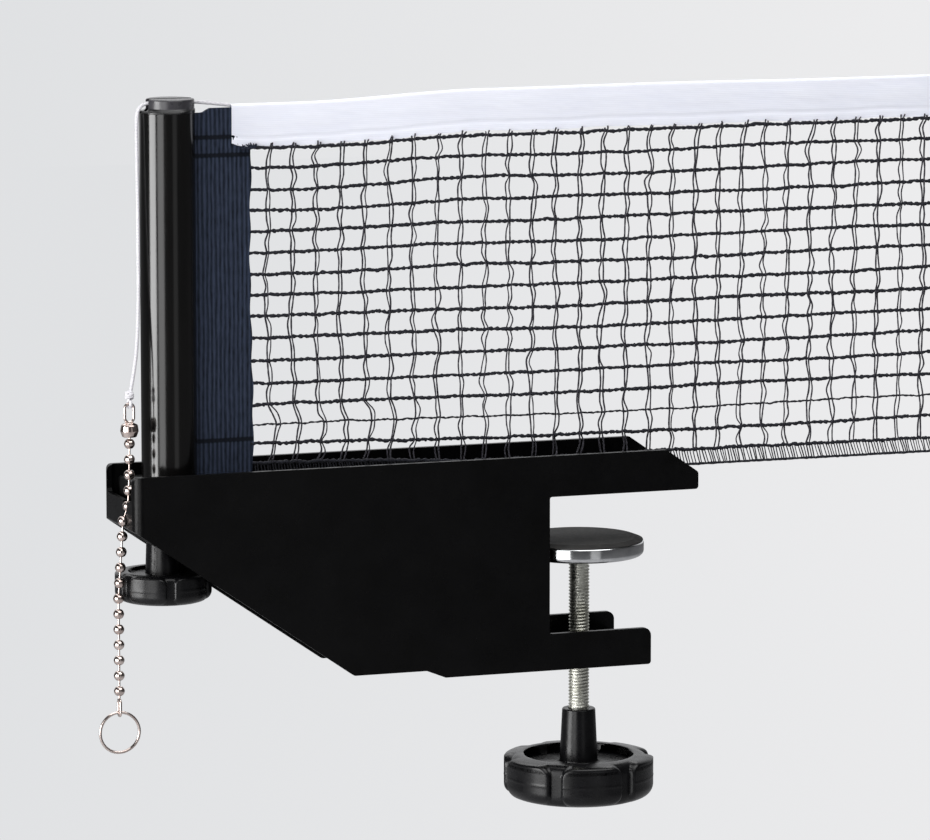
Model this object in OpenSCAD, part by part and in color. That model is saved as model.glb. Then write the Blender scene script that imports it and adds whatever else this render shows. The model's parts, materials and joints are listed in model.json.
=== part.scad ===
// Table tennis net clamp: a folded steel bracket that a screw grips to the table's
// edge, with a height-adjustable post that holds the end of the net.
//
// Frame: the origin is on the axis of the clamp screw, at the level of the playing
// surface and half way between the two side plates. +X points in over the table,
// +Y along the table's end of the net line, +Z up. All sizes are in millimetres.

/* [Bracket] */
// Thickness of the folded steel sheet
sheet_t = 2; // [1.5:0.5:3]
// Width over the two side plates
bracket_w = 40; // [34:1:50]
// Inner radius of the two bends at the outer end
bend_r = 2; // [1.5:0.5:4]
// From the clamp screw's axis back to the stop at the table's edge
edge_back = 19.5; // [16:0.5:30]
// From the edge stop out to the bracket's outer end
outboard = 162; // [150:1:180]
// From the edge stop in to the tip of the upper jaw
jaw_reach = 60; // [45:1:80]
// Height of the side plates above the playing surface
plate_top = 15.5; // [12:0.5:22]
// Length of the slope at the tip of the upper jaw
nose_l = 13; // [8:1:20]
// Height of the slope at the tip of the upper jaw
nose_h = 9; // [5:0.5:11]
// Height of the gap for the table, from the jaw to the lower arm
throat_h = 52; // [44:1:70]
// From the edge stop in to the tip of the lower arm
arm_reach = 41; // [36:1:60]
// Height of the lower arm
arm_h = 14; // [11:0.5:20]
// Height of the side plates at the outer end
end_h = 20; // [16:1:26]
// How far the end web's top lies below the plates' tops
web_drop = 10; // [6:0.5:13]
// From the edge stop back to the bottom corner
corner_back = 77.5; // [60:1:95]
// From the edge stop back to the step in the bottom edge
step_back = 41.5; // [30:1:50]
// Length of the step's slope
step_l = 7.5; // [4:0.5:12]
// Rise of the step
step_h = 3; // [1:0.5:6]
// Thickness of the plates welded across the bracket
cross_t = 2.5; // [2:0.5:4]
// How far the screw bridge's top lies below the arm's top edge
bridge_drop = 6.5; // [3:0.5:8]

/* [Post] */
// From the edge stop out to the post's axis
post_back = 142.5; // [130:0.5:152]
// Outer diameter of the post
post_d = 20.6; // [18:0.1:24]
// Wall of the post
post_wall = 1.8; // [1.2:0.1:2.5]
// Height of the tube's top above the playing surface
post_top = 147; // [135:1:155]
// Width of the slit that the net's edge passes through
slit_w = 3; // [2.6:0.1:5]
// Diameter of the cap's head
cap_d = 17.8; // [12:0.1:18]
// How far the head stands off the post's axis, away from the cord
cap_offset = 1.2; // [0:0.1:1.3]
// Height of the cap's head over the tube
cap_h = 5; // [3:0.5:8]
// Diameter of the adjusting stud
stud_d = 6; // [5:0.5:8]
// How far outboard of the post's axis the stud stands, which keys the post
stud_offset = 2.75; // [1:0.25:3]

/* [Clamp screw] */
// Diameter of the clamp screw
screw_d = 8; // [6:0.5:10]
// Diameter of the pressure pad
pad_d = 49; // [36:1:60]
// From the playing surface down to the pad's rubber
pad_gap = 18.8; // [12:0.2:26]
// Height of the pad's steel cup
cup_h = 5.6; // [3.5:0.1:7]
// Thickness of the rubber over the cup's rim
rubber_h = 1.4; // [1:0.1:3]
// Diameter of the clamp knob
knob_d = 57; // [45:1:70]
// Height of the clamp knob's rim
knob_h = 16.5; // [12:0.5:20]
// From the playing surface down to the knob's rim
knob_drop = 102.5; // [97:0.5:110]
// Length of the hub over the rim
hub_l = 17.5; // [10:0.5:18]
// Diameter of the hub's top
hub_d = 12.6; // [11.5:0.1:16]

/* [Height knob] */
// Diameter of the height knob
small_knob_d = 35.8; // [30:0.2:36]
// Height of the height knob's rim
small_knob_h = 11.1; // [9:0.1:14]
// From the playing surface down to the height knob's rim
small_knob_drop = 22.3; // [20:0.1:26]
// Diameter of its hub
small_hub_d = 12.4; // [11:0.1:15]

/* [Net] */
// Height of the net's top over the playing surface
net_top = 152.5; // [149:0.5:155]
// Height of the top tape
tape_h = 16; // [12:0.5:20]
// From the screw's axis to the net's far edge
net_end = 160; // [120:1:220]
// Number of meshes along the net
net_columns = 18; // [8:1:18]
// Number of meshes up the net
net_rows = 15; // [6:1:16]
// Width of a net string
string_w = 1.2; // [0.8:0.1:2]
// Width of the fabric sleeve beside the post
sleeve_w = 21.5; // [15:0.5:30]
// Thickness of the sleeve's two layers together
sleeve_t = 1.6; // [1:0.1:2.2]
// Diameter of the rod in the sleeve's loop
rod_d = 5; // [4:0.5:6]
// Height of the hem along the net's foot
hem_h = 6.2; // [4:0.2:8]
// Diameter of the tension cord
cord_d = 1.8; // [1.2:0.1:2]

/* [Ball chain] */
// Diameter of a ball
ball_d = 4; // [3:0.1:4.4]
// Distance from ball to ball
ball_pitch = 5.75; // [5:0.05:7]
// Number of balls that hang below the slot
hanging_balls = 11; // [6:1:16]
// Number of balls between the slot and the connector
upper_balls = 5; // [3:1:5]
// Place of the chain's slot across the end web
chain_y = -7.5; // [-8:0.5:8]
// Outer diameter of the pull ring
ring_d = 16.3; // [12:0.1:24]
// Diameter of the pull ring's wire
ring_wire = 1.3; // [1:0.1:1.6]

/* [Hidden] */
$fn = 64;
eps = 0.01;

// Running clearance on the radius of a shaft in its hole
run_gap = 0.08;
// Gap between faces that slide past each other
face_gap = 0.1;
// Clearance on the radius of a plug, rod or bolt that is pushed into its seat
fit_gap = 0.03;

// Bracket
inner_w = bracket_w - 2 * sheet_t;
edge_x = -edge_back;
outer_x = edge_x - outboard;
jaw_x = edge_x + jaw_reach;
plate_inset = 3;
arm_inset = 2;
arm_x = edge_x + arm_reach;
corner_x = edge_x - corner_back;
step_x = edge_x - step_back;
arm_bottom = -throat_h - arm_h;
step_z = arm_bottom + step_h;
end_bottom = plate_top - end_h;
web_top = plate_top - web_drop;
web_inner_x = outer_x + sheet_t;
bridge_top = -throat_h - bridge_drop;
// The plate behind the throat stands back, so that the pad rises between the side plates
pad_clear = 2;
throat_x = min(edge_x, -pad_d / 2 - pad_clear);

// Post and its guide
post_x = edge_x - post_back;
post_r = post_d / 2;
post_inner_r = post_r - post_wall;
stud_x = post_x - stud_offset;
guide_top = 11;
guide_end_gap = 3.2;
guide_wall_inner = 5;
guide_foot = 8;
guide_slot_depth = 5.5;
base_top = -8;
base_bottom = base_top - cross_t;
base_outer = guide_foot + 0.5;
base_l = 26;
tube_bottom = base_top + 5;
insert_h = 10;
slit_bottom = guide_top + 0.5;
stud_top = base_top + 16;
plug_l = 13;
cap_collar = 0.6;
cap_slope = 0.9;
cap_groove_z = post_top + 2.3;
cap_notch_depth = 1.4;
cap_notch_y = -0.4;

// Pad and clamp screw
pad_top = -pad_gap;
cup_top = pad_top - rubber_h;
cup_bottom = cup_top - cup_h;
cup_wall = 1.5;
cup_floor = cup_bottom + cup_wall;
spigot_d = screw_d - 2.2;
rivet_h = 1.2;
pad_washer_d = 12;
pad_washer_h = 0.8;
bush_d = screw_d + 5;
bush_flange_d = bush_d + 3;
bush_flange_h = 2;
bush_h = 6;
bush_top = bridge_top + 0.6;
rim_top = -knob_drop;
rim_bottom = rim_top - knob_h;
hub_top = rim_top + hub_l;
bolt_head_af = 13;
bolt_head_h = 5.3;
bolt_head_bottom = rim_bottom + 2;
rim_w = 7.7;
rim_low_r = 5.5;
rim_high_r = 4.5;
recess_depth = 3.5;
cover_r = bolt_head_af / 2 + 2.5;
lobe_step = 1.2;
lobe_corner = 3;
lobe_start = 24;
// Each lobe takes this much of the sixth of the rim that it stands on
lobe_angle = 47;

// Height knob
small_rim_top = -small_knob_drop;
small_rim_bottom = small_rim_top - small_knob_h;
washer_h = 0.7;
small_hub_top = base_bottom - face_gap - washer_h;
stud_head_af = 10;
stud_head_h = 4;
stud_head_bottom = small_rim_bottom + 1.6;
small_rim_w = 5;
small_rim_low_r = 3.8;
small_rim_high_r = 2.4;
small_recess_depth = 1.2;
small_cover_r = stud_head_af / 2 + 2;
small_lobe_step = 0.8;
small_lobe_corner = 2;
small_lobe_start = 52;
cover_gap = 0.3;

// Net
sleeve_bottom = guide_top + 1;
sleeve_x = post_x + post_r;
net_x = sleeve_x + sleeve_w;
sleeve_top = net_top - 5;
rod_top = post_top - 15;
hem_top = 12;
tape_x = net_x - 7.3;
tape_t = 0.4;
tape_slack = 0.05;
tape_droop = 3.2;
droop_from = net_x + 18;
droop_to = net_x + 93;
row_pitch = (net_top - tape_h - hem_top) / net_rows;
column_pitch = (net_end - net_x) / net_columns;

// Ball chain. The link in the slot joins the last ball inside to the held ball
// outside, which is drawn into the round seat at the slot's foot.
ball_r = ball_d / 2;
link_d = 0.9;
slot_r = 1.15;
seat_r = ball_r - 0.1;
slot_depth = 7.4;
held_x = outer_x - sqrt(ball_r * ball_r - seat_r * seat_r) - face_gap;
held_z = web_top - slot_depth;
inner_ball_x = web_inner_x - 0.8;
inner_ball_z = held_z + sqrt(pow(ball_pitch, 2) - pow(inner_ball_x - held_x, 2));
mouth_r = ball_r + 0.4;
// The height knob's rim keeps the lower chain this far off the web, so its first
// balls lean outwards
hang_x = outer_x - 2.7;
leaning_balls = 5;
lean = 0.8;
connector_x = inner_ball_x + lean;
bell_bottom = inner_ball_z + (upper_balls - 1) * ball_pitch + 2.5;
bell_h = 5.3;
loop_h = 7.9;
loop_w = 4.4;
wire_d = 1;
eyelet_w = 4;
eyelet_h = 7.2;
neck = ball_r + 0.6;
ring_r = (ring_d - ring_wire) / 2;
last_ball_z = held_z - hanging_balls * ball_pitch;
eyelet_bottom = last_ball_z - neck - eyelet_h;
ring_top_z = eyelet_bottom + wire_d + ring_wire / 2 + face_gap;

// The tension cord's route, from the tape's end over the cap and down the post to
// the connector's loop. Its points are chosen by hand.
cord_route = [
    [-137.8, 0, 148.9], [-141, 0, 149.3], [-146, 0, 149.9], [-151, 0, 150.4],
    [-156, 0, 150.6], [-162, 0, 150.6], [-167, 0, 150.6], [-169.5, -0.2, 150.4],
    [-171.4, -0.4, 149.8], [-172.8, -0.7, 148.6], [-173.6, -1, 146.6],
    [-173.9, -1.2, 142], [-174, -1.5, 132], [-174, -1.9, 120], [-174.1, -2.5, 108],
    [-174.3, -3.2, 96], [-174.6, -4.1, 84], [-175.2, -5.1, 72], [-176, -6, 62],
    [-177.2, -6.7, 54], [-178.6, -7.2, 47], [-179.4, -7.5, 42.4]
];
cord_sides = 8;

function unit(v) = v / norm(v);

// Steps that an arc of a given radius is drawn in
function arc_steps(r) = r < 1 ? 3 : r < 3 ? 5 : 8;

// One corner: the point itself, or the points of an arc that touches both its sides
function corner(before, point, after, r) =
    let (back = unit(before - point), ahead = unit(after - point),
        half = acos(back * ahead) / 2,
        centre = point + unit(back + ahead) * r / sin(half),
        start = point + back * r / tan(half) - centre,
        first = atan2(start.y, start.x),
        sweep = (180 - 2 * half) * sign(cross(-back, ahead)))
    [for (k = [0:arc_steps(r)]) let (a = first + sweep * k / arc_steps(r))
        centre + r * [cos(a), sin(a)]];

// A closed outline whose corners have their own radii. The points run anticlockwise.
module rounded_outline(points, radii) {
    n = len(points);
    polygon([for (i = [0:n - 1]) each radii[i] == 0 ? [points[i]]
        : corner(points[(i + n - 1) % n], points[i], points[(i + 1) % n], radii[i])]);
}

// An outline drawn in X and Z, extruded to a width centred on Y
module along_y(width) {
    rotate([90, 0, 0]) translate([0, 0, -width / 2]) linear_extrude(width) children();
}

// An outline drawn in Y and Z, extruded along X from a start
module along_x(start, length) {
    translate([start, 0, 0]) rotate([90, 0, 90]) linear_extrude(length) children();
}

module post_axis() { translate([post_x, 0, 0]) children(); }

module stud_axis() { translate([stud_x, 0, 0]) children(); }

// A block between two heights, centred on Y
module block(x0, x1, width, z0, z1) {
    translate([x0, -width / 2, z0]) cube([x1 - x0, width, z1 - z0]);
}

module disc(d, z0, z1) { translate([0, 0, z0]) cylinder(h = z1 - z0, d = d); }

module hexagon(af, z0, z1) {
    translate([0, 0, z0]) cylinder(h = z1 - z0, d = af / cos(30), $fn = 6);
}

// ---- Bracket ----------------------------------------------------------------

// Outline of the two side plates
module side_outline() {
    rounded_outline([
        [outer_x, plate_top], [outer_x, end_bottom], [corner_x, step_z],
        [step_x - step_l, step_z], [step_x, arm_bottom], [arm_x, arm_bottom],
        [arm_x, -throat_h], [edge_x, -throat_h], [edge_x, 0], [jaw_x, 0],
        [jaw_x, plate_top - nose_h], [jaw_x - nose_l, plate_top]
    ], [2.5, 1.5, 2, 1, 1, 1.2, 3, 0.8, 0.8, 1.2, 1.5, 1]);
}

// The sheet seen from above: one strip bent round into a U
module folded_plan() {
    outer_r = bend_r + sheet_t;
    half_w = bracket_w / 2;
    half_in = inner_w / 2;
    difference() {
        rounded_outline([[outer_x, -half_w], [jaw_x, -half_w], [jaw_x, half_w],
            [outer_x, half_w]], [outer_r, 0, 0, outer_r]);
        rounded_outline([[web_inner_x, -half_in], [jaw_x + 1, -half_in],
            [jaw_x + 1, half_in], [web_inner_x, half_in]], [bend_r, 0, 0, bend_r]);
    }
}

// The end web's slot: a mouth that a ball drops into, a neck that only the link
// between two balls passes, and a round seat that the held ball rests in
module chain_slot() {
    along_x(outer_x - 1, sheet_t + 2) translate([chain_y, 0]) {
        translate([0, inner_ball_z]) circle(r = mouth_r);
        translate([-mouth_r, inner_ball_z]) square([2 * mouth_r, web_drop]);
        translate([0, held_z]) circle(r = seat_r);
        translate([-slot_r, held_z]) square([2 * slot_r, inner_ball_z - held_z]);
    }
}

module bracket_shell() {
    web_r = 2;
    web_half = bracket_w / 2 - bend_r - sheet_t;
    color([0.07, 0.07, 0.075]) difference() {
        intersection() {
            along_y(bracket_w) side_outline();
            translate([0, 0, arm_bottom - 1])
                linear_extrude(plate_top - arm_bottom + 2) folded_plan();
        }
        along_x(outer_x - 1, sheet_t + 2) rounded_outline([
            [-web_half, web_top], [web_half, web_top],
            [web_half, plate_top + 5], [-web_half, plate_top + 5]
        ], [web_r, web_r, 0, 0]);
        chain_slot();
    }
}

module jaw_plate() {
    color([0.09, 0.09, 0.095])
        block(throat_x, jaw_x - plate_inset, inner_w, 0, cross_t);
}

module throat_plate() {
    color([0.09, 0.09, 0.095])
        block(throat_x - cross_t, throat_x, inner_w, bridge_top, cross_t);
}

module screw_bridge() {
    color([0.09, 0.09, 0.095]) difference() {
        block(throat_x - cross_t, arm_x - arm_inset, inner_w, bridge_top - cross_t, bridge_top);
        disc(bush_d, bridge_top - cross_t - 1, bridge_top + 1);
    }
}

// Round nut with a flange, welded up into the bridge
module threaded_bush() {
    flange_top = bridge_top - cross_t;
    color([0.62, 0.62, 0.6]) difference() {
        union() {
            disc(bush_d, bush_top - bush_h, bush_top);
            disc(bush_flange_d, flange_top - bush_flange_h, flange_top);
        }
        disc(screw_d + 2 * run_gap, bush_top - bush_h - 1, bush_top + 1);
    }
}

// Cross plate under the post's guide, which carries the height knob
module base_plate() {
    color([0.09, 0.09, 0.095]) difference() {
        block(stud_x - base_outer, stud_x - base_outer + base_l, inner_w, base_bottom, base_top);
        stud_axis() disc(stud_d + 2 * run_gap, base_bottom - 1, base_top + 1);
    }
}

// Moulded guide that the post slides in, on the base plate
module post_guide() {
    x0 = web_inner_x + guide_end_gap;
    x1 = post_x + post_r + guide_wall_inner;
    foot_x = stud_x - guide_foot;
    color([0.12, 0.12, 0.13]) difference() {
        along_y(inner_w) rounded_outline([
            [x0, guide_top], [x0, end_bottom - 1], [foot_x, base_top],
            [x1, base_top], [x1, guide_top]
        ], [1, 1, 0.6, 0.6, 1]);
        post_axis() disc(post_d + 2 * run_gap, base_top - 1, guide_top + 1);
        block(post_x, x1 + 1, slit_w + 1, guide_top - guide_slot_depth, guide_top + 1);
    }
}

// ---- Post -------------------------------------------------------------------

module post_tube() {
    color([0.05, 0.05, 0.055]) difference() {
        post_axis() disc(post_d, tube_bottom, post_top);
        post_axis() disc(2 * post_inner_r, tube_bottom - 1, post_top + 1);
        block(post_x, post_x + post_r + 1, slit_w, slit_bottom, post_top + 1);
    }
}

// Plug with a narrower head. The tension cord lies in the groove over its top and
// drops through the notch at its outer side.
module post_cap() {
    plug_r = post_inner_r - fit_gap;
    groove_w = cord_d + 0.8;
    collar_z = post_top + cap_collar;
    cap_top = post_top + cap_h;
    head_x = post_x + cap_offset;
    color([0.16, 0.16, 0.17]) difference() {
        union() {
            post_axis() rotate_extrude() rounded_outline([
                [0, post_top - plug_l], [plug_r, post_top - plug_l], [plug_r, post_top],
                [post_r, post_top], [post_r, collar_z], [0, collar_z]
            ], [0, 1, 0, 0, 0.3, 0]);
            intersection() {
                post_axis() disc(post_d, post_top, cap_top);
                translate([head_x, 0, 0]) rotate_extrude() rounded_outline([
                    [0, post_top], [cap_d / 2 + cap_slope, post_top],
                    [cap_d / 2 + cap_slope, collar_z], [cap_d / 2, collar_z + cap_slope],
                    [cap_d / 2, cap_top], [0, cap_top]
                ], [0, 0, 0, 0.3, 0.6, 0]);
            }
        }
        block(post_x - post_d, post_x + post_d, groove_w, cap_groove_z, cap_top + 1);
        translate([0, cap_notch_y, 0]) block(post_x - post_d,
            head_x - cap_d / 2 + cap_notch_depth, groove_w, post_top, cap_top + 1);
    }
}

// Threaded plug in the tube's foot, off centre so that the post can't turn
module post_insert() {
    color([0.7, 0.6, 0.35]) difference() {
        post_axis() disc(2 * (post_inner_r - fit_gap), tube_bottom, tube_bottom + insert_h);
        stud_axis() disc(stud_d + 2 * run_gap, tube_bottom - 1, tube_bottom + insert_h + 1);
    }
}

module height_stud() {
    color([0.7, 0.7, 0.68]) stud_axis() {
        disc(stud_d, stud_head_bottom + stud_head_h, stud_top);
        hexagon(stud_head_af, stud_head_bottom, stud_head_bottom + stud_head_h);
    }
}

// Open ring that holds the stud down on the base plate
module stud_clip() {
    clip_t = 0.8;
    color([0.55, 0.55, 0.55]) stud_axis() difference() {
        disc(stud_d + 5, base_top + face_gap, base_top + face_gap + clip_t);
        disc(stud_d + 2 * fit_gap, base_top, base_top + 2);
        translate([-stud_d, -stud_d / 3, base_top]) cube([stud_d, stud_d / 1.5, 2]);
    }
}

module knob_washer() {
    color([0.85, 0.85, 0.82]) stud_axis() difference() {
        disc(small_hub_d - 0.4, small_hub_top, small_hub_top + washer_h);
        disc(stud_d + 2 * fit_gap, small_hub_top - 1, small_hub_top + 2);
    }
}

// ---- Knobs ------------------------------------------------------------------

// Six raised lobes round the rim of a knob: rounded patches of a wider rim, whose
// edges have the radii low_r and high_r
module lobes(d, z0, z1, low_r, high_r, corner_r, first, count = 6) {
    half_w = d / 2 * sin(lobe_angle / 2);
    band = max(low_r, high_r) + 1;
    lip = 0.6;
    intersection() {
        rotate_extrude() rounded_outline([
            [d / 2 - band, z0], [d / 2, z0], [d / 2, z1], [d / 2 - band, z1]
        ], [0, low_r, high_r, 0]);
        for (i = [0:count - 1]) rotate(first + i * 360 / count) along_x(d / 4, d / 2)
            rounded_outline([
                [-half_w, z0 + lip], [half_w, z0 + lip], [half_w, z1 - lip], [-half_w, z1 - lip]
            ], [corner_r, corner_r, corner_r, corner_r]);
    }
}

module clamp_knob() {
    base_r = knob_d / 2 - lobe_step;
    recess_r = knob_d / 2 - rim_w;
    recess_z = rim_top - recess_depth;
    color([0.13, 0.13, 0.135]) difference() {
        union() {
            rotate_extrude() rounded_outline([
                [0, rim_bottom], [base_r, rim_bottom], [base_r, rim_top],
                [recess_r, rim_top], [recess_r - 0.8, recess_z], [hub_d / 2 + 1.2, recess_z],
                [hub_d / 2, hub_top], [0, hub_top]
            ], [0, rim_low_r - 0.5, rim_high_r - 1, 0.8, 1.5, 1.5, 0.5, 0]);
            lobes(knob_d, rim_bottom, rim_top, rim_low_r, rim_high_r, lobe_corner, lobe_start);
        }
        disc(screw_d + 2 * fit_gap, bolt_head_bottom, hub_top + 1);
        hexagon(bolt_head_af + 2 * fit_gap, bolt_head_bottom - 1, bolt_head_bottom + bolt_head_h);
        disc(2 * cover_r, rim_bottom - 1, bolt_head_bottom);
    }
}

module clamp_knob_cover() {
    color([0.11, 0.11, 0.115]) rotate_extrude() rounded_outline([
        [0, rim_bottom + cover_gap], [cover_r - fit_gap, rim_bottom + cover_gap],
        [cover_r - fit_gap, bolt_head_bottom], [0, bolt_head_bottom]
    ], [0, 0.5, 0, 0]);
}

module height_knob() {
    r = small_knob_d / 2;
    base_r = r - small_lobe_step;
    recess_r = r - small_rim_w;
    recess_z = small_rim_top - small_recess_depth;
    color([0.12, 0.12, 0.125]) stud_axis() difference() {
        union() {
            rotate_extrude() rounded_outline([
                [0, small_rim_bottom], [base_r, small_rim_bottom], [base_r, small_rim_top],
                [recess_r, small_rim_top], [recess_r - 0.5, recess_z],
                [small_hub_d / 2 + 0.4, recess_z],
                [small_hub_d / 2, small_hub_top], [0, small_hub_top]
            ], [0, small_rim_low_r - 0.4, small_rim_high_r - 0.4, 0.5, 0.5, 0.8, 0.5, 0]);
            lobes(small_knob_d, small_rim_bottom, small_rim_top, small_rim_low_r,
                small_rim_high_r, small_lobe_corner, small_lobe_start);
        }
        disc(stud_d + 2 * fit_gap, stud_head_bottom, small_hub_top + 1);
        hexagon(stud_head_af + 2 * fit_gap, stud_head_bottom - 1, stud_head_bottom + stud_head_h);
        disc(2 * small_cover_r, small_rim_bottom - 1, stud_head_bottom);
    }
}

module height_knob_cover() {
    color([0.11, 0.11, 0.115]) stud_axis() rotate_extrude() rounded_outline([
        [0, small_rim_bottom + cover_gap],
        [small_cover_r - fit_gap, small_rim_bottom + cover_gap],
        [small_cover_r - fit_gap, stud_head_bottom], [0, stud_head_bottom]
    ], [0, 0.5, 0, 0]);
}

// ---- Clamp screw and pad ----------------------------------------------------

// Hexagon-headed screw whose reduced end is riveted over inside the pad
module clamp_screw() {
    rivet_z = cup_floor + pad_washer_h + face_gap;
    color([0.72, 0.72, 0.7]) {
        disc(screw_d, bolt_head_bottom + bolt_head_h, cup_bottom - face_gap);
        hexagon(bolt_head_af, bolt_head_bottom, bolt_head_bottom + bolt_head_h);
        disc(spigot_d, cup_bottom - face_gap - eps, rivet_z + eps);
        disc(spigot_d + 3, rivet_z, rivet_z + rivet_h);
    }
}

// Pressed steel cup
module pad_cup() {
    r = pad_d / 2;
    color([0.8, 0.8, 0.8]) difference() {
        rotate_extrude() rounded_outline([
            [0, cup_bottom], [r, cup_bottom], [r, cup_top],
            [r - cup_wall, cup_top], [r - cup_wall, cup_floor], [0, cup_floor]
        ], [0, 2, 0.6, 0.4, 0.6, 0]);
        disc(spigot_d + 2 * run_gap, cup_bottom - 1, cup_floor + 1);
    }
}

// Rubber disc in the cup, with a sloping edge over the cup's rim
module pad_rubber() {
    r = pad_d / 2;
    seat_r = r - cup_wall - fit_gap;
    pocket_r = pad_washer_d / 2 + 1;
    pocket_top = cup_floor + pad_washer_h + face_gap + rivet_h + 0.3;
    color([0.04, 0.04, 0.04]) rotate_extrude() rounded_outline([
        [pocket_r, cup_floor], [seat_r, cup_floor], [seat_r, cup_top],
        [r - 0.3, cup_top], [r - 0.3, cup_top + 0.4], [r - 3, pad_top], [0, pad_top],
        [0, pocket_top], [pocket_r, pocket_top]
    ], [0, 0.6, 0, 0, 0, 0.8, 0, 0, 0]);
}

module pad_washer() {
    color([0.6, 0.6, 0.58]) difference() {
        disc(pad_washer_d, cup_floor, cup_floor + pad_washer_h);
        disc(spigot_d + 2 * run_gap, cup_floor - 1, cup_floor + 2);
    }
}

// ---- Net --------------------------------------------------------------------

// How far the tape's end hangs: all of it near the post, none over the table
function sag(x) = x <= droop_from ? tape_droop : x >= droop_to ? 0
    : tape_droop * (1 + cos(180 * (x - droop_from) / (droop_to - droop_from))) / 2;

// The tape's side view, with its top lowered by a given amount
module tape_outline(lower) {
    steps = 10;
    bend = [for (i = [0:steps]) droop_from + (droop_to - droop_from) * i / steps];
    xs = concat([tape_x], bend, [net_end]);
    polygon(concat([for (x = xs) [x, net_top - tape_h - sag(x) - (lower > 0 ? 1 : 0)]],
        [for (i = [len(xs) - 1:-1:0]) [xs[i], net_top - sag(xs[i]) - lower]]));
}

// White tape folded over the net's top
module net_tape() {
    inside = sleeve_t + 2 * tape_slack;
    color([0.92, 0.93, 0.96]) difference() {
        along_y(inside + 2 * tape_t) tape_outline(0);
        along_y(inside) tape_outline(tape_t);
    }
}

// Flat mesh: upright strings from the hem up into the tape, and level ones across
module net_mesh() {
    x1 = net_end - 0.5;
    color([0.13, 0.14, 0.18]) along_y(0.9) {
        for (i = [1:net_columns])
            translate([i < net_columns ? net_x + i * column_pitch - string_w / 2 : x1 - string_w, hem_top])
                square([string_w, row_pitch * net_rows + 6]);
        for (k = [1:net_rows])
            translate([net_x, hem_top + k * row_pitch - string_w / 2])
                square([x1 - net_x, string_w]);
    }
}

module net_hem() {
    color([0.11, 0.12, 0.16])
        block(net_x, net_end - 0.5, 0.9, hem_top - hem_h, hem_top);
}

// Doubled fabric: a loop round the rod inside the tube, then a flat band that
// leaves through the slit and holds the net's edge
module net_sleeve() {
    loop_r = rod_d / 2 + sleeve_t / 2;
    shoulder_z = sleeve_top - 1.4;
    color([0.14, 0.18, 0.3]) {
        post_axis() difference() {
            union() {
                disc(2 * loop_r, sleeve_bottom, rod_top);
                block(0, post_r, sleeve_t, sleeve_bottom, rod_top);
            }
            disc(rod_d + 2 * fit_gap, sleeve_bottom - 1, rod_top + 1);
        }
        along_y(sleeve_t) rounded_outline([
            [sleeve_x - 0.1, sleeve_bottom], [net_x, sleeve_bottom], [net_x, sleeve_top],
            [sleeve_x + 7, sleeve_top], [sleeve_x + 4, shoulder_z], [sleeve_x - 0.1, shoulder_z]
        ], [0, 0.5, 0.5, 2, 2, 0]);
    }
}

module net_rod() {
    color([0.75, 0.75, 0.74]) post_axis() disc(rod_d, sleeve_bottom, rod_top);
}

// Tube of eight sides along the cord's route
module tension_cord() {
    n = len(cord_route);
    dir = [for (i = [0:n - 1]) unit(cord_route[min(i + 1, n - 1)] - cord_route[max(i - 1, 0)])];
    side = [for (d = dir) unit(cross(d, [0, 1, 0]))];
    points = [for (i = [0:n - 1]) for (k = [0:cord_sides - 1])
        let (a = 360 * k / cord_sides)
        cord_route[i] + cord_d / 2 * (cos(a) * side[i] + sin(a) * cross(dir[i], side[i]))];
    walls = [for (i = [0:n - 2]) for (k = [0:cord_sides - 1])
        let (a = i * cord_sides, b = (k + 1) % cord_sides)
        each [[a + k, a + b, a + cord_sides + b], [a + k, a + cord_sides + b, a + cord_sides + k]]];
    first = [for (k = [1:cord_sides - 2]) [0, k + 1, k]];
    last = [for (k = [1:cord_sides - 2]) [for (j = [0, k, k + 1]) (n - 1) * cord_sides + j]];
    color([0.9, 0.9, 0.9]) polyhedron(points, [for (f = concat(walls, first, last)) [f[0], f[2], f[1]]]);
}

// ---- Ball chain -------------------------------------------------------------

function upper_ball(i) = [connector_x - lean * pow(0.5, i), chain_y, inner_ball_z + i * ball_pitch];
function lower_ball(i) = [held_x + (hang_x - held_x) * min(i / leaning_balls, 1), chain_y,
    held_z - i * ball_pitch];

module ball_at(p) { translate(p) sphere(d = ball_d, $fn = 32); }

// Straight link between the centres of two balls
module link_between(a, b) {
    v = b - a;
    translate(a) rotate([0, acos(v.z / norm(v)), atan2(v.y, v.x)])
        cylinder(h = norm(v), d = link_d, $fn = 16);
}

// Upper chain: from the connector down to the held ball outside the slot
module chain_upper() {
    color([0.75, 0.73, 0.7]) {
        for (i = [0:upper_balls - 1]) ball_at(upper_ball(i));
        for (i = [0:upper_balls - 2]) link_between(upper_ball(i), upper_ball(i + 1));
        link_between(upper_ball(0), lower_ball(0));
        ball_at(lower_ball(0));
        translate(upper_ball(upper_balls - 1))
            cylinder(h = bell_bottom - upper_ball(upper_balls - 1).z, d = link_d, $fn = 16);
    }
}

module chain_lower() {
    gap = ball_r + 0.1;
    first = lower_ball(0) + unit(lower_ball(1) - lower_ball(0)) * gap;
    color([0.75, 0.73, 0.7]) {
        link_between(first, lower_ball(1));
        for (i = [1:hanging_balls]) ball_at(lower_ball(i));
        for (i = [1:hanging_balls - 1]) link_between(lower_ball(i), lower_ball(i + 1));
        translate([hang_x, chain_y, last_ball_z - neck - wire_d / 2])
            cylinder(h = neck, d = link_d, $fn = 16);
    }
}

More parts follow.
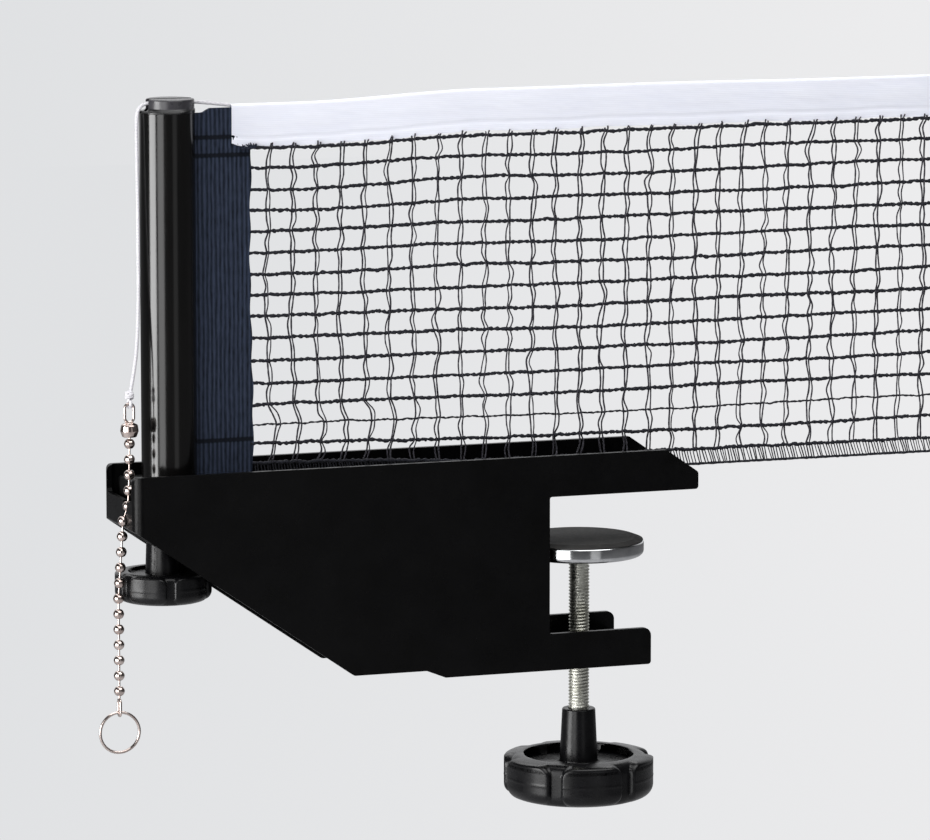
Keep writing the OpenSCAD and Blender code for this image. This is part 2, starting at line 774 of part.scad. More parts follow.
// Wire bent into a long loop that stands across X
module wire_loop(width, height) {
    r = (width - wire_d) / 2;
    straight = height - width;
    for (s = [0, 1]) translate([0, 0, s == 1 ? height - width / 2 : width / 2])
        rotate([s == 1 ? 0 : 180, 0, 0]) rotate([90, 0, 90])
            rotate_extrude(angle = 180) translate([r, 0]) circle(d = wire_d, $fn = 24);
    for (s = [-1, 1]) translate([0, s * r, width / 2])
        cylinder(h = straight, d = wire_d, $fn = 24);
}

// Bell that grips the last ball, with a wire loop for the cord
module chain_connector() {
    color([0.72, 0.7, 0.66]) translate([connector_x, chain_y, bell_bottom]) {
        rotate_extrude() rounded_outline([
            [0, 0], [2.6, 0], [3.4, 2.2], [3.1, bell_h - 0.8], [1.6, bell_h], [0, bell_h]
        ], [0, 0.5, 0.8, 0.8, 0.4, 0]);
        translate([0, 0, bell_h - 0.4]) rotate([0, 0, 90]) wire_loop(loop_w, loop_h);
    }
}

module chain_eyelet() {
    color([0.74, 0.72, 0.69]) translate([hang_x, chain_y, eyelet_bottom])
        wire_loop(eyelet_w, eyelet_h);
}

module pull_ring() {
    color([0.78, 0.77, 0.75]) translate([hang_x, chain_y, ring_top_z - ring_r])
        rotate([90, 0, 0]) rotate_extrude() translate([ring_r, 0]) circle(d = ring_wire, $fn = 24);
}

bracket_shell();
jaw_plate();
throat_plate();
screw_bridge();
threaded_bush();
base_plate();
post_guide();
chain_connector();
chain_upper();
tension_cord();
post_tube();
post_cap();
post_insert();
net_rod();
net_sleeve();
net_tape();
net_mesh();
net_hem();
height_knob();
height_stud();
stud_clip();
knob_washer();
height_knob_cover();
pad_cup();
pad_rubber();
pad_washer();
clamp_screw();
clamp_knob();
clamp_knob_cover();
chain_lower();
chain_eyelet();
pull_ring();
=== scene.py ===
"""The looks of a table tennis net clamp.

It finishes the metal and plastic, and makes the knobs, screw, chain, net, tape, sleeve and cord.
"""

import json
import math
import random

import bpy
from mathutils import Matrix, Vector

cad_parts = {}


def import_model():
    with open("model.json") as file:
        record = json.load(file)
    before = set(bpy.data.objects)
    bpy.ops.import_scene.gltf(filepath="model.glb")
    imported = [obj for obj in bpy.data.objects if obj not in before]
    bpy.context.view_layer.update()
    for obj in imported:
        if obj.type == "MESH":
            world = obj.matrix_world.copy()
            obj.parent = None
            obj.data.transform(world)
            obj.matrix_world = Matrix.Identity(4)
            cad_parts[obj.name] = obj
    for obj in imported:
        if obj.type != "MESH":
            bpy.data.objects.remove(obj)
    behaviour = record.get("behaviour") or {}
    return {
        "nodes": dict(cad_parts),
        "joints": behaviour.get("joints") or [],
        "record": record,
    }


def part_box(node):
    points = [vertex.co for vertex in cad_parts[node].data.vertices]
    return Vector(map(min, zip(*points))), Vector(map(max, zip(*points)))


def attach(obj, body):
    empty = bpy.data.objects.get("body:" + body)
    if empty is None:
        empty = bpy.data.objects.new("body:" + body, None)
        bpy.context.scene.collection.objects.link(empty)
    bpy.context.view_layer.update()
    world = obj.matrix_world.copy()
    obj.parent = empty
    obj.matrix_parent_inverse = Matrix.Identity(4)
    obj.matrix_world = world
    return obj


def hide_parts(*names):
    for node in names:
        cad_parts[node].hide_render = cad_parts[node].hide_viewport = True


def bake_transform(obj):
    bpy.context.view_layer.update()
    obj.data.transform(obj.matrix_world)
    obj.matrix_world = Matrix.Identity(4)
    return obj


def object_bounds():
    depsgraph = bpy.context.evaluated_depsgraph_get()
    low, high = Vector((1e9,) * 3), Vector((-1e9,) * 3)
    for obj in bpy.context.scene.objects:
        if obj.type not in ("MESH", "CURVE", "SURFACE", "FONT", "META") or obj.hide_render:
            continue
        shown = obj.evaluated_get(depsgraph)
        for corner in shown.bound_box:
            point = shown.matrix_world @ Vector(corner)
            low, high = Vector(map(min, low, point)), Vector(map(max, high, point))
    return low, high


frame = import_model()
cad_low, cad_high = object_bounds()
record = frame["record"]
BODY_OF = {node: body for body, nodes in record["behaviour"]["bodies"].items() for node in nodes}
MM = 0.001
TURN = 2 * math.pi
SHARP_ANGLE = math.radians(32)
CLOTH_FOLD = math.radians(60)
MERGE = 0.001 * MM

# Sizes taken from the frame, in metres
tube_low, tube_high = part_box("post_tube")
POST_X = (tube_low.x + tube_high.x) / 2
SLEEVE_X = tube_high.x
band_low, band_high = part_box("net_sleeve")
NET_X = band_high.x
tape_low, tape_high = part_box("net_tape")
NET_TOP = tape_high.z
NET_END = tape_high.x
TAPE_X = tape_low.x
hem_low, hem_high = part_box("net_hem")
HEM_TOP = hem_high.z
HEM_FOOT = hem_low.z

# Sizes of the net and its sleeve, in metres
TAPE_H = 16 * MM
TAPE_DROOP = 3.2 * MM
DROOP_FROM = NET_X + 18 * MM
DROOP_TO = NET_X + 93 * MM
ROWS = 15
ROW_PITCH = (NET_TOP - TAPE_H - HEM_TOP) / ROWS
COLUMN_PITCH = 9.45 * MM
FIRST_COLUMN = NET_X + 7 * MM
RIB_PITCH = 1.68 * MM
SLEEVE_SEAMS = (137.3 * MM, 130.6 * MM, 25 * MM)


# ---------------------------------------------------------------- tools

def only(piece):
    """Leaves just this piece selected and active."""
    bpy.ops.object.select_all(action="DESELECT")
    piece.select_set(True)
    bpy.context.view_layer.objects.active = piece


def settle(piece):
    """Puts a piece's place into its mesh, so that its object sits at the origin."""
    only(piece)
    bpy.ops.object.transform_apply(location=True, rotation=True, scale=True)


def finish_piece(piece, name, body, material, slot, *replaced):
    """Names a piece, gives it its finish and lets it ride on its body."""
    piece.name = name
    piece.data.name = name
    piece.data.materials.clear()
    piece.data.materials.append(material)
    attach(piece, body)
    if replaced:
        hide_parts(*replaced)
    return piece


def join(pieces):
    """Joins several meshes into the first."""
    bpy.ops.object.select_all(action="DESELECT")
    for piece in pieces:
        piece.select_set(True)
    bpy.context.view_layer.objects.active = pieces[0]
    bpy.ops.object.join()
    return pieces[0]


def apply_modifiers(piece):
    """Makes a piece's modifiers part of its mesh."""
    only(piece)
    for modifier in list(piece.modifiers):
        bpy.ops.object.modifier_apply(modifier=modifier.name)


def merged_copy(node):
    """A copy of a CAD node as one clean mesh with whole faces, free of its frame."""
    piece = bpy.data.objects.new("copy", frame["nodes"][node].data.copy())
    bpy.context.scene.collection.objects.link(piece)
    only(piece)
    if piece.data.has_custom_normals:
        bpy.ops.mesh.customdata_custom_splitnormals_clear()
    bpy.ops.object.mode_set(mode="EDIT")
    bpy.ops.mesh.select_all(action="SELECT")
    bpy.ops.mesh.remove_doubles(threshold=0.002 * MM)
    bpy.ops.mesh.dissolve_limited(angle_limit=math.radians(0.6))
    bpy.ops.object.mode_set(mode="OBJECT")
    return piece


def soften(piece, width, segments=2):
    """Rounds the sharp edges of a piece and shades its curves smooth, with its broad faces true."""
    if width > 0:
        bevel = piece.modifiers.new("edges", "BEVEL")
        bevel.width = width
        bevel.segments = segments
        bevel.limit_method = "ANGLE"
        bevel.angle_limit = SHARP_ANGLE
        bevel.use_clamp_overlap = True
        bevel.miter_outer = "MITER_ARC"
        apply_modifiers(piece)
    only(piece)
    bpy.ops.object.shade_smooth_by_angle(angle=SHARP_ANGLE)
    broad = piece.modifiers.new("broad_faces", "WEIGHTED_NORMAL")
    broad.keep_sharp = True
    apply_modifiers(piece)


def refined(node, name, material, slot, width, segments=2):
    """A CAD node's own shape with softened edges, which stands for it."""
    piece = merged_copy(node)
    soften(piece, width, segments)
    return finish_piece(piece, name, BODY_OF[node], material, slot, node)


def grid_faces(columns, rows, wrap=False):
    """Quads of a grid whose points run row by row. A wrapped grid closes round its columns."""
    across = columns if wrap else columns - 1
    return [(r * columns + c, r * columns + (c + 1) % columns,
             (r + 1) * columns + (c + 1) % columns, (r + 1) * columns + c)
            for r in range(rows - 1) for c in range(across)]


def new_mesh(points, edges, faces):
    """A mesh from its points, edges and faces, selected by itself."""
    mesh = bpy.data.meshes.new("mesh")
    mesh.from_pydata(points, edges, faces)
    piece = bpy.data.objects.new("piece", mesh)
    bpy.context.scene.collection.objects.link(piece)
    only(piece)
    return piece


def string_mesh(points):
    """A mesh of edges that join each point to the next."""
    return new_mesh(points, [(i, i + 1) for i in range(len(points) - 1)], [])


def mesh_piece(points, faces):
    """A mesh from its points and faces, with its normals turned outwards."""
    piece = new_mesh(points, [], faces)
    bpy.ops.object.mode_set(mode="EDIT")
    bpy.ops.mesh.select_all(action="SELECT")
    bpy.ops.mesh.normals_make_consistent(inside=False)
    bpy.ops.object.mode_set(mode="OBJECT")
    return piece


def threads(routes, radius, sides):
    """Round threads along routes of (point, thickness) pairs, as one mesh with closed ends.

    A thickness is a share of the radius.
    """
    curve = bpy.data.curves.new("threads", "CURVE")
    curve.dimensions = "3D"
    curve.bevel_depth = radius
    curve.bevel_resolution = (sides - 4) // 2
    curve.use_fill_caps = True
    for route in routes:
        spline = curve.splines.new("POLY")
        spline.points.add(len(route) - 1)
        for point, (place, thickness) in zip(spline.points, route):
            point.co = (*place, 1)
            point.radius = thickness
    piece = bpy.data.objects.new("threads", curve)
    bpy.context.scene.collection.objects.link(piece)
    only(piece)
    bpy.ops.object.convert(target="MESH")
    piece = bpy.context.view_layer.objects.active
    bpy.ops.object.shade_smooth()
    return piece


def smooth_route(points, steps):
    """Points of a smooth curve that passes through every given point."""
    route = []
    for i in range(len(points) - 1):
        before = points[max(i - 1, 0)]
        start, end = points[i], points[i + 1]
        after = points[min(i + 2, len(points) - 1)]
        for k in range(steps):
            t = k / steps
            route.append(0.5 * (2 * start + (end - before) * t
                + (2 * before - 5 * start + 4 * end - after) * t * t
                + (3 * start - before - 3 * end + after) * t ** 3))
    route.append(points[-1])
    return route


def bell(value, centre, width):
    """A smooth bump of height 1 at a centre."""
    return math.exp(-((value - centre) / width) ** 2)


# ---------------------------------------------------------------- finishes

class Finish:
    """A material with a Principled shader, built up from small patterns on Object coordinates."""

    def __init__(self, name, colour, roughness, metallic=0.0, specular=0.5):
        self.material = bpy.data.materials.new(name)
        self.material.use_nodes = True
        self.nodes = self.material.node_tree.nodes
        self.links = self.material.node_tree.links
        self.shader = self.nodes["Principled BSDF"]
        self.shader.inputs["Base Color"].default_value = (*colour, 1)
        self.shader.inputs["Roughness"].default_value = roughness
        self.shader.inputs["Metallic"].default_value = metallic
        self.shader.inputs["Specular IOR Level"].default_value = specular
        self.place = self.nodes.new("ShaderNodeTexCoord").outputs["Object"]
        self.split = self.nodes.new("ShaderNodeSeparateXYZ")
        self.links.new(self.place, self.split.inputs["Vector"])
        self.height = self.split.outputs["Z"]
        self.normal = None

    def noise(self, size, detail=2.0, stretch=(1, 1, 1)):
        """Noise whose blotches are about size metres across, drawn out by stretch."""
        mapping = self.nodes.new("ShaderNodeMapping")
        mapping.inputs["Scale"].default_value = [1 / s for s in stretch]
        self.links.new(self.place, mapping.inputs["Vector"])
        noise = self.nodes.new("ShaderNodeTexNoise")
        noise.inputs["Scale"].default_value = 1 / size
        noise.inputs["Detail"].default_value = detail
        self.links.new(mapping.outputs["Vector"], noise.inputs["Vector"])
        return noise.outputs["Fac"]

    def math(self, operation, first, second=None, third=None):
        """The result of a sum on patterns or numbers."""
        node = self.nodes.new("ShaderNodeMath")
        node.operation = operation
        for socket, value in zip(node.inputs, (first, second, third)):
            if value is None:
                continue
            if isinstance(value, (int, float)):
                socket.default_value = value
            else:
                self.links.new(value, socket)
        return node.outputs["Value"]

    def wave(self, direction, period, wander=0.0):
        """A wave from 0 to 1 across a direction, with its period in metres. wander shifts its ridges."""
        dot = self.nodes.new("ShaderNodeVectorMath")
        dot.operation = "DOT_PRODUCT"
        dot.inputs[1].default_value = Vector(direction).normalized() * (TURN / period)
        self.links.new(self.place, dot.inputs[0])
        phase = self.math("ADD", dot.outputs["Value"], wander)
        return self.math("MULTIPLY_ADD", self.math("SINE", phase), 0.5, 0.5)

    def spread(self, value, low, high, first=0.0, last=1.0):
        """A pattern that runs from low to high while the value runs from first to last."""
        node = self.nodes.new("ShaderNodeMapRange")
        node.inputs["From Min"].default_value = first
        node.inputs["From Max"].default_value = last
        node.inputs["To Min"].default_value = low
        node.inputs["To Max"].default_value = high
        self.links.new(value, node.inputs["Value"])
        return node.outputs["Result"]

    def shade(self, value, dark, light, first=0.3, last=0.7):
        """Colours the surface between two colours by a pattern."""
        ramp = self.nodes.new("ShaderNodeValToRGB")
        ramp.color_ramp.elements[0].position = first
        ramp.color_ramp.elements[1].position = last
        ramp.color_ramp.elements[0].color = (*dark, 1)
        ramp.color_ramp.elements[1].color = (*light, 1)
        self.links.new(value, ramp.inputs["Fac"])
        self.links.new(ramp.outputs["Color"], self.shader.inputs["Base Color"])

    def roughen(self, value, low, high):
        """Varies the roughness between two values by a pattern."""
        self.links.new(self.spread(value, low, high, 0.25, 0.75), self.shader.inputs["Roughness"])

    def bump(self, height, depth, strength=1.0):
        """Adds relief whose full height is depth metres."""
        bump = self.nodes.new("ShaderNodeBump")
        bump.inputs["Strength"].default_value = strength
        bump.inputs["Distance"].default_value = depth
        self.links.new(height, bump.inputs["Height"])
        if self.normal is not None:
            self.links.new(self.normal, bump.inputs["Normal"])
        self.normal = bump.outputs["Normal"]
        self.links.new(self.normal, self.shader.inputs["Normal"])


def powder_coat():
    """Black powder coat: a fine orange-peel skin over the sheet's slight waves."""
    finish = Finish("powder_coat", (0.0012, 0.0012, 0.0012), 0.32, specular=0.12)
    finish.shade(finish.noise(14 * MM), (0.0007, 0.0007, 0.0008), (0.0018, 0.0018, 0.0020))
    finish.roughen(finish.noise(2.5 * MM), 0.26, 0.36)
    finish.bump(finish.noise(0.5 * MM, 1.0), 0.012 * MM)
    finish.bump(finish.noise(6 * MM, 1.0), 0.02 * MM)
    return finish.material


def gloss_enamel():
    """Black stoved enamel, drawn out along the tube."""
    finish = Finish("gloss_enamel", (0.0025, 0.0025, 0.0025), 0.16)
    clouds = finish.noise(8 * MM, 2.0, (1, 1, 12))
    finish.shade(clouds, (0.0015, 0.0015, 0.0015), (0.0035, 0.0033, 0.0032))
    finish.roughen(finish.noise(1.5 * MM, 2.0, (1, 1, 20)), 0.12, 0.20)
    finish.bump(finish.noise(3 * MM, 1.0, (1, 1, 8)), 0.006 * MM)
    return finish.material


def moulded(name, dark, light, low, high, specular=0.5):
    """Moulded plastic between two colours and two roughnesses."""
    finish = Finish(name, dark, low, specular=specular)
    finish.shade(finish.noise(7 * MM), dark, light)
    finish.roughen(finish.noise(4 * MM), low, high)
    finish.bump(finish.noise(0.35 * MM), 0.002 * MM)
    finish.bump(finish.noise(6 * MM, 1.0), 0.03 * MM)
    return finish.material


def cap_grey():
    """Moulded grey plastic, black on the collar that sits on the tube's end."""
    finish = Finish("cap_grey", (0.022, 0.021, 0.026), 0.3)
    collar_top = tube_high.z + 1.3 * MM
    above_collar = finish.spread(finish.height, 0.0, 1.0, collar_top, collar_top + 0.3 * MM)
    clouds = finish.spread(finish.noise(7 * MM), 0.55, 1.0, 0.3, 0.7)
    mixed = finish.math("MULTIPLY", clouds, above_collar)
    finish.shade(mixed, (0.003, 0.003, 0.0035), (0.044, 0.043, 0.049), 0.0, 1.0)
    finish.roughen(finish.noise(3 * MM), 0.24, 0.36)
    finish.bump(finish.noise(0.35 * MM), 0.002 * MM)
    return finish.material


def plated(name, dark, light, low, high):
    """Plated metal: clouded colour, with fine marks."""
    finish = Finish(name, light, low, metallic=1.0)
    finish.shade(finish.noise(5 * MM, 3.0), dark, light, 0.35, 0.65)
    finish.roughen(finish.noise(0.8 * MM, 3.0), low, high)
    finish.bump(finish.noise(0.25 * MM), 0.002 * MM)
    return finish.material


def rubber():
    """Matt black rubber with a fine grain."""
    finish = Finish("rubber", (0.014, 0.014, 0.014), 0.8)
    finish.shade(finish.noise(4 * MM), (0.010, 0.010, 0.010), (0.022, 0.021, 0.020))
    finish.roughen(finish.noise(1 * MM), 0.7, 0.9)
    finish.bump(finish.noise(0.3 * MM, 3.0), 0.015 * MM)
    return finish.material


def navy_band():
    """Woven band with upright ribs and fine cross threads; its colour is lighter on the ribs and darker
    between them, and darker along its seams, all painted shade.
    """
    finish = Finish("navy_band", (0.016, 0.022, 0.05), 0.85, specular=0.15)
    finish.shader.inputs["Sheen Weight"].default_value = 0.04
    uneven = finish.math("MULTIPLY", finish.noise(2.4 * MM, 2.0, (1, 1, 9)), 5.0)
    # Painted light and shade: the wave makes each rib lighter and the gaps between ribs darker.
    rib = finish.wave((1, 0, 0), RIB_PITCH, uneven)
    weft = finish.wave((0, 0, 1), 0.45 * MM)
    mottle = finish.noise(0.8 * MM, 3.0, (1, 1, 5))
    mixed = finish.math("MULTIPLY_ADD", rib, 0.5, finish.math("MULTIPLY", mottle, 0.75))
    # Painted shade: the colour darkens along each seam, standing for the shade in the seam's crease.
    for seam in SLEEVE_SEAMS:
        away = finish.math("ABSOLUTE", finish.math("SUBTRACT", finish.height, seam))
        mixed = finish.math("MULTIPLY", mixed, finish.spread(away, 0.1, 1.0, 0.35 * MM, 1.1 * MM))
    # The ramp mixes the band's own mottled tone with the painted rib light and shade and the painted seam
    # shade.
    finish.shade(mixed, (0.0025, 0.0045, 0.009), (0.030, 0.041, 0.072), 0.22, 0.92)
    finish.bump(weft, 0.05 * MM)
    finish.bump(finish.noise(0.3 * MM, 2.0), 0.05 * MM)
    return finish.material


def white_tape():
    """Cotton tape with a fine level weave."""
    finish = Finish("white_tape", (0.84, 0.85, 0.93), 0.8)
    finish.shader.inputs["Sheen Weight"].default_value = 0.1
    level = finish.wave((0, 0, 1), 0.7 * MM)
    fine = finish.noise(0.5 * MM, 2.0, (8, 1, 1))
    soft = finish.noise(7 * MM, 2.0, (3, 1, 1))
    mixed = finish.math("MULTIPLY_ADD", level, 0.1, finish.math("MULTIPLY", fine, 0.4))
    mixed = finish.math("MULTIPLY_ADD", soft, 0.5, mixed)
    finish.shade(mixed, (0.785, 0.805, 0.905), (0.845, 0.86, 0.93), 0.25, 0.75)
    finish.bump(level, 0.012 * MM)
    finish.bump(soft, 0.35 * MM)
    finish.bump(finish.wave((1, 0, 0), 0.4 * MM), 0.01 * MM)
    return finish.material


def yarn(name, dark, light):
    """Fibrous thread with a little sheen."""
    finish = Finish(name, dark, 0.9, specular=0.25)
    finish.shader.inputs["Sheen Weight"].default_value = 0.06
    finish.shade(finish.noise(0.7 * MM, 3.0), dark, light, 0.35, 0.75)
    finish.bump(finish.noise(0.25 * MM, 2.0), 0.12 * MM)
    return finish.material


def braid():
    """Braided cord: two crossing sets of strands."""
    finish = Finish("braid", (0.64, 0.63, 0.66), 0.8)
    left = finish.wave((1, 1, 1.6), 0.9 * MM)
    right = finish.wave((-1, -1, 1.6), 0.9 * MM)
    both = finish.math("MAXIMUM", left, right)
    finish.shade(both, (0.56, 0.555, 0.59), (0.66, 0.65, 0.68), 0.3, 0.9)
    finish.bump(both, 0.03 * MM)
    return finish.material


POWDER = powder_coat()
ENAMEL = gloss_enamel()
CAP_GREY = cap_grey()
KNOB_BLACK = moulded("knob_black", (0.002, 0.002, 0.0024), (0.004, 0.004, 0.0048), 0.22, 0.34, 0.28)
GUIDE_BLACK = moulded("guide_black", (0.003, 0.003, 0.003), (0.006, 0.006, 0.006), 0.45, 0.58, 0.25)
NYLON = moulded("nylon", (0.70, 0.69, 0.63), (0.78, 0.77, 0.71), 0.4, 0.5)
ZINC = plated("zinc", (0.50, 0.50, 0.42), (0.68, 0.69, 0.66), 0.26, 0.42)
ROLLED = plated("rolled_zinc", (0.52, 0.52, 0.45), (0.72, 0.72, 0.66), 0.38, 0.50)
CHROME = plated("chrome", (0.50, 0.51, 0.52), (0.66, 0.67, 0.68), 0.08, 0.17)
NICKEL = plated("nickel", (0.46, 0.38, 0.35), (0.70, 0.61, 0.57), 0.12, 0.22)
BRASS = plated("brass", (0.58, 0.40, 0.16), (0.72, 0.55, 0.26), 0.25, 0.4)
RUBBER = rubber()
NAVY = navy_band()
TAPE_WHITE = white_tape()
NET_YARN = yarn("net_yarn", (0.006, 0.0065, 0.010), (0.022, 0.023, 0.032))
NET_TWINE = yarn("net_twine", (0.020, 0.020, 0.026), (0.065, 0.060, 0.074))
TUFT_NAVY = yarn("tuft_navy", (0.006, 0.009, 0.018), (0.022, 0.028, 0.052))
BRAID = braid()


# ---------------------------------------------------------------- camera

VIEW_AZIMUTH = math.radians(-20.07)
VIEW_ELEVATION = math.radians(8.08)
VIEW_DISTANCE = 2.0927
VIEW_TARGET = Vector((-0.0461, 0, 0.0278))
SENSOR_WIDTH = 36
FOCAL_LENGTH = 215.9


def direction(azimuth, elevation):
    """The way from the object towards an azimuth and elevation in radians. Azimuth 0 is -Y."""
    level = math.cos(elevation)
    return Vector((math.sin(azimuth) * level, -math.cos(azimuth) * level, math.sin(elevation)))


def add_camera():
    """A long lens a little above the clamp, from its outer front."""
    data = bpy.data.cameras.new("camera")
    data.sensor_width = SENSOR_WIDTH
    data.lens = FOCAL_LENGTH
    camera = bpy.data.objects.new("camera", data)
    bpy.context.scene.collection.objects.link(camera)
    back = direction(VIEW_AZIMUTH, VIEW_ELEVATION)
    camera.location = VIEW_TARGET + back * VIEW_DISTANCE
    camera.rotation_euler = (-back).to_track_quat("-Z", "Y").to_euler()
    data.clip_start = 0.05
    data.clip_end = 100
    bpy.context.scene.camera = camera


add_camera()


# ---------------------------------------------------------------- metal and plastic

refined("bracket_shell", "bracket_sheet", POWDER, "black_coat", 0.28 * MM, 3)
refined("jaw_plate", "upper_jaw_plate", POWDER, "black_coat", 0.3 * MM)
refined("throat_plate", "throat_cross_plate", POWDER, "black_coat", 0.3 * MM)
refined("screw_bridge", "screw_cross_plate", POWDER, "black_coat", 0.3 * MM)
refined("base_plate", "post_base_plate", POWDER, "black_coat", 0.3 * MM)
refined("threaded_bush", "bridge_bush", ZINC, "zinc_steel", 0.25 * MM)
refined("post_guide", "post_guide_block", GUIDE_BLACK, "guide_plastic", 0.3 * MM)
refined("post_tube", "slit_post", ENAMEL, "black_gloss", 0.2 * MM)
refined("post_cap", "grooved_cap", CAP_GREY, "cap_plastic", 0.25 * MM)
refined("post_insert", "threaded_insert", BRASS, "brass", 0.3 * MM)
refined("net_rod", "sleeve_rod", NYLON, "nylon", 0.3 * MM)
refined("height_stud", "hex_stud", ZINC, "zinc_steel", 0.3 * MM)
refined("stud_clip", "stud_open_ring", ZINC, "zinc_steel", 0.1 * MM)
refined("knob_washer", "hub_washer", NYLON, "nylon", 0.12 * MM)
refined("height_knob_cover", "small_knob_cover", KNOB_BLACK, "knob_plastic", 0)
refined("clamp_knob_cover", "large_knob_cover", KNOB_BLACK, "knob_plastic", 0)
refined("pad_cup", "pressed_cup", CHROME, "chrome", 0)
refined("pad_rubber", "rubber_disc", RUBBER, "rubber", 0.15 * MM)
refined("pad_washer", "rivet_washer", ZINC, "zinc_steel", 0.15 * MM)


# ---------------------------------------------------------------- knobs

LOBES = 6
LOBE_SPACING = 360 / LOBES
LOBE_ANGLE = 51
FINE = 0.45 * MM
BORE_DEPTH = 5 * MM


def rounded_profile(corners, steps=6):
    """An outline of (radius, height) points through (radius, height, rounding) corners."""
    outline = []
    for i, (r, z, rounding) in enumerate(corners):
        here = Vector((r, z))
        if rounding == 0:
            outline.append(here)
            continue
        back = (Vector(corners[i - 1][:2]) - here).normalized()
        ahead = (Vector(corners[i + 1][:2]) - here).normalized()
        reach = rounding / math.tan(back.angle(ahead) / 2)
        for k in range(steps + 1):
            share = k / steps
            outline.append(here + reach * (back * (1 - share) ** 2 + ahead * share ** 2))
    return outline


def divided(outline, from_r):
    """Cuts an outline's long stretches beyond a radius into fine steps."""
    points = [outline[0]]
    for start, end in zip(outline, outline[1:]):
        length = (end - start).length
        cuts = max(1, round(length / FINE)) if min(start.x, end.x) > from_r else 1
        points += [start.lerp(end, k / cuts) for k in range(1, cuts + 1)]
    return points


def turned(profile, steps):
    """A solid of revolution round Z from an outline whose ends lie on the axis."""
    piece = string_mesh([(r, 0, z) for r, z in profile])
    bpy.ops.object.mode_set(mode="EDIT")
    bpy.ops.mesh.select_all(action="SELECT")
    bpy.ops.mesh.spin(steps=steps, angle=TURN, center=(0, 0, 0), axis=(0, 0, 1))
    bpy.ops.mesh.select_all(action="SELECT")
    bpy.ops.mesh.remove_doubles(threshold=MERGE)
    bpy.ops.mesh.normals_make_consistent(inside=False)
    bpy.ops.object.mode_set(mode="OBJECT")
    return piece


def raise_lobes(piece, radius, low_z, high_z, low_r, high_r, corner, first, shoulder):
    """Draws six rounded lobes out of a rim, up to a radius, with a moulding seam round their middle."""
    half_w = radius * math.radians(LOBE_ANGLE / 2)
    half_h = (high_z - low_z) / 2
    middle = (high_z + low_z) / 2
    for vertex in piece.data.vertices:
        x, y, z = vertex.co
        r = math.hypot(x, y)
        if r < radius - 7 * shoulder or not low_z < z < high_z:
            continue
        turned_by = math.degrees(math.atan2(y, x)) - first
        angle = (turned_by + LOBE_SPACING / 2) % LOBE_SPACING - LOBE_SPACING / 2
        across = abs(math.radians(angle)) * radius - (half_w - corner)
        up = abs(z - middle) - (half_h - corner)
        outside = math.hypot(max(across, 0), max(up, 0)) + min(max(across, up), 0) - corner
        share = min(max(-outside / shoulder, 0), 1)
        below = max(low_r - (z - low_z), 0)
        above = max(high_r - (high_z - z), 0)
        rounded_off = low_r - math.sqrt(low_r ** 2 - below ** 2)
        rounded_off += high_r - math.sqrt(high_r ** 2 - above ** 2)
        reach = radius - rounded_off
        seam = 0.1 * MM * bell(z, middle, 0.25 * MM)
        grown = r + (max(reach, r) - r + seam) * math.sqrt(1 - (1 - share) ** 2)
        vertex.co.x, vertex.co.y = x * grown / r, y * grown / r


def lobed_knob(node, cover, name, rim, recess, hub, step, lobe, first):
    """A six-lobed knob.

    rim holds its width, height and shoulder radius, hub its radius, flare and bore, and lobe the
    radii of its lower edge, upper edge and corners. The lobes stand out by step, and first is the
    angle of one of them in degrees.
    """
    low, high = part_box(node)
    cover_low, cover_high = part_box(cover)
    centre = (cover_low + cover_high) / 2
    radius = (high.y - low.y) / 2
    rim_w, rim_h, shoulder = rim
    hub_r, flare, bore = hub
    low_r, high_r, corner = lobe
    cover_r = (cover_high.x - cover_low.x) / 2 + 0.1 * MM
    rim_top = low.z + rim_h
    body_r = radius - step
    corners = [
        (0, cover_high.z, 0), (cover_r, cover_high.z, 0), (cover_r, low.z, 0.4 * MM),
        (body_r, low.z, low_r * 0.9), (body_r, rim_top, shoulder),
        (radius - rim_w, rim_top, 0.9 * MM), (radius - rim_w - 0.6 * MM, rim_top - recess, recess * 0.4),
        (hub_r + flare, rim_top - recess, recess * 0.4), (hub_r, high.z, 0.7 * MM),
        (bore, high.z, 0.3 * MM), (bore, high.z - BORE_DEPTH, 0), (0, high.z - BORE_DEPTH, 0),
    ]
    profile = divided(rounded_profile(corners), radius - rim_w + 1 * MM)
    piece = turned(profile, round(TURN * radius / FINE))
    raise_lobes(piece, radius, low.z + 0.3 * MM, rim_top - 0.15 * MM, low_r, high_r, corner, first,
                shoulder=0.7 * step)
    piece.location = (centre.x, centre.y, 0)
    settle(piece)
    bpy.ops.object.shade_smooth_by_angle(angle=math.radians(50))
    return finish_piece(piece, name, BODY_OF[node], KNOB_BLACK, "knob_plastic", node)


lobed_knob("clamp_knob", "clamp_knob_cover", "large_lobed_knob",
           rim=(7.7 * MM, 16.5 * MM, 4 * MM), recess=3.5 * MM, hub=(6.3 * MM, 1.0 * MM, 4.05 * MM),
           step=2.0 * MM, lobe=(4.8 * MM, 1.3 * MM, 5.0 * MM), first=20.4)
lobed_knob("height_knob", "height_knob_cover", "small_lobed_knob",
           rim=(5 * MM, 11.1 * MM, 2.6 * MM), recess=1.2 * MM, hub=(6.2 * MM, 0.4 * MM, 3.05 * MM),
           step=1.2 * MM, lobe=(3.2 * MM, 1.1 * MM, 3.2 * MM), first=52)


# ---------------------------------------------------------------- clamp screw

SCREW_R = 4 * MM
THREAD_PITCH = 1.25 * MM
THREAD_DEPTH = 0.5 * MM
THREAD_STEPS = 28
CREST_R = SCREW_R - 0.06 * MM
CORE_R = SCREW_R - THREAD_DEPTH
SPIGOT_R = 2.9 * MM
HEAD_R = 7.5 * MM
HEAD_H = 5.3 * MM


def upright_cylinder(radius, foot, top, sides):
    """A cylinder on the Z axis between two heights."""
    bpy.ops.mesh.primitive_cylinder_add(vertices=sides, radius=radius, depth=top - foot,
                                        location=(0, 0, (top + foot) / 2))
    piece = bpy.context.active_object
    settle(piece)
    return piece


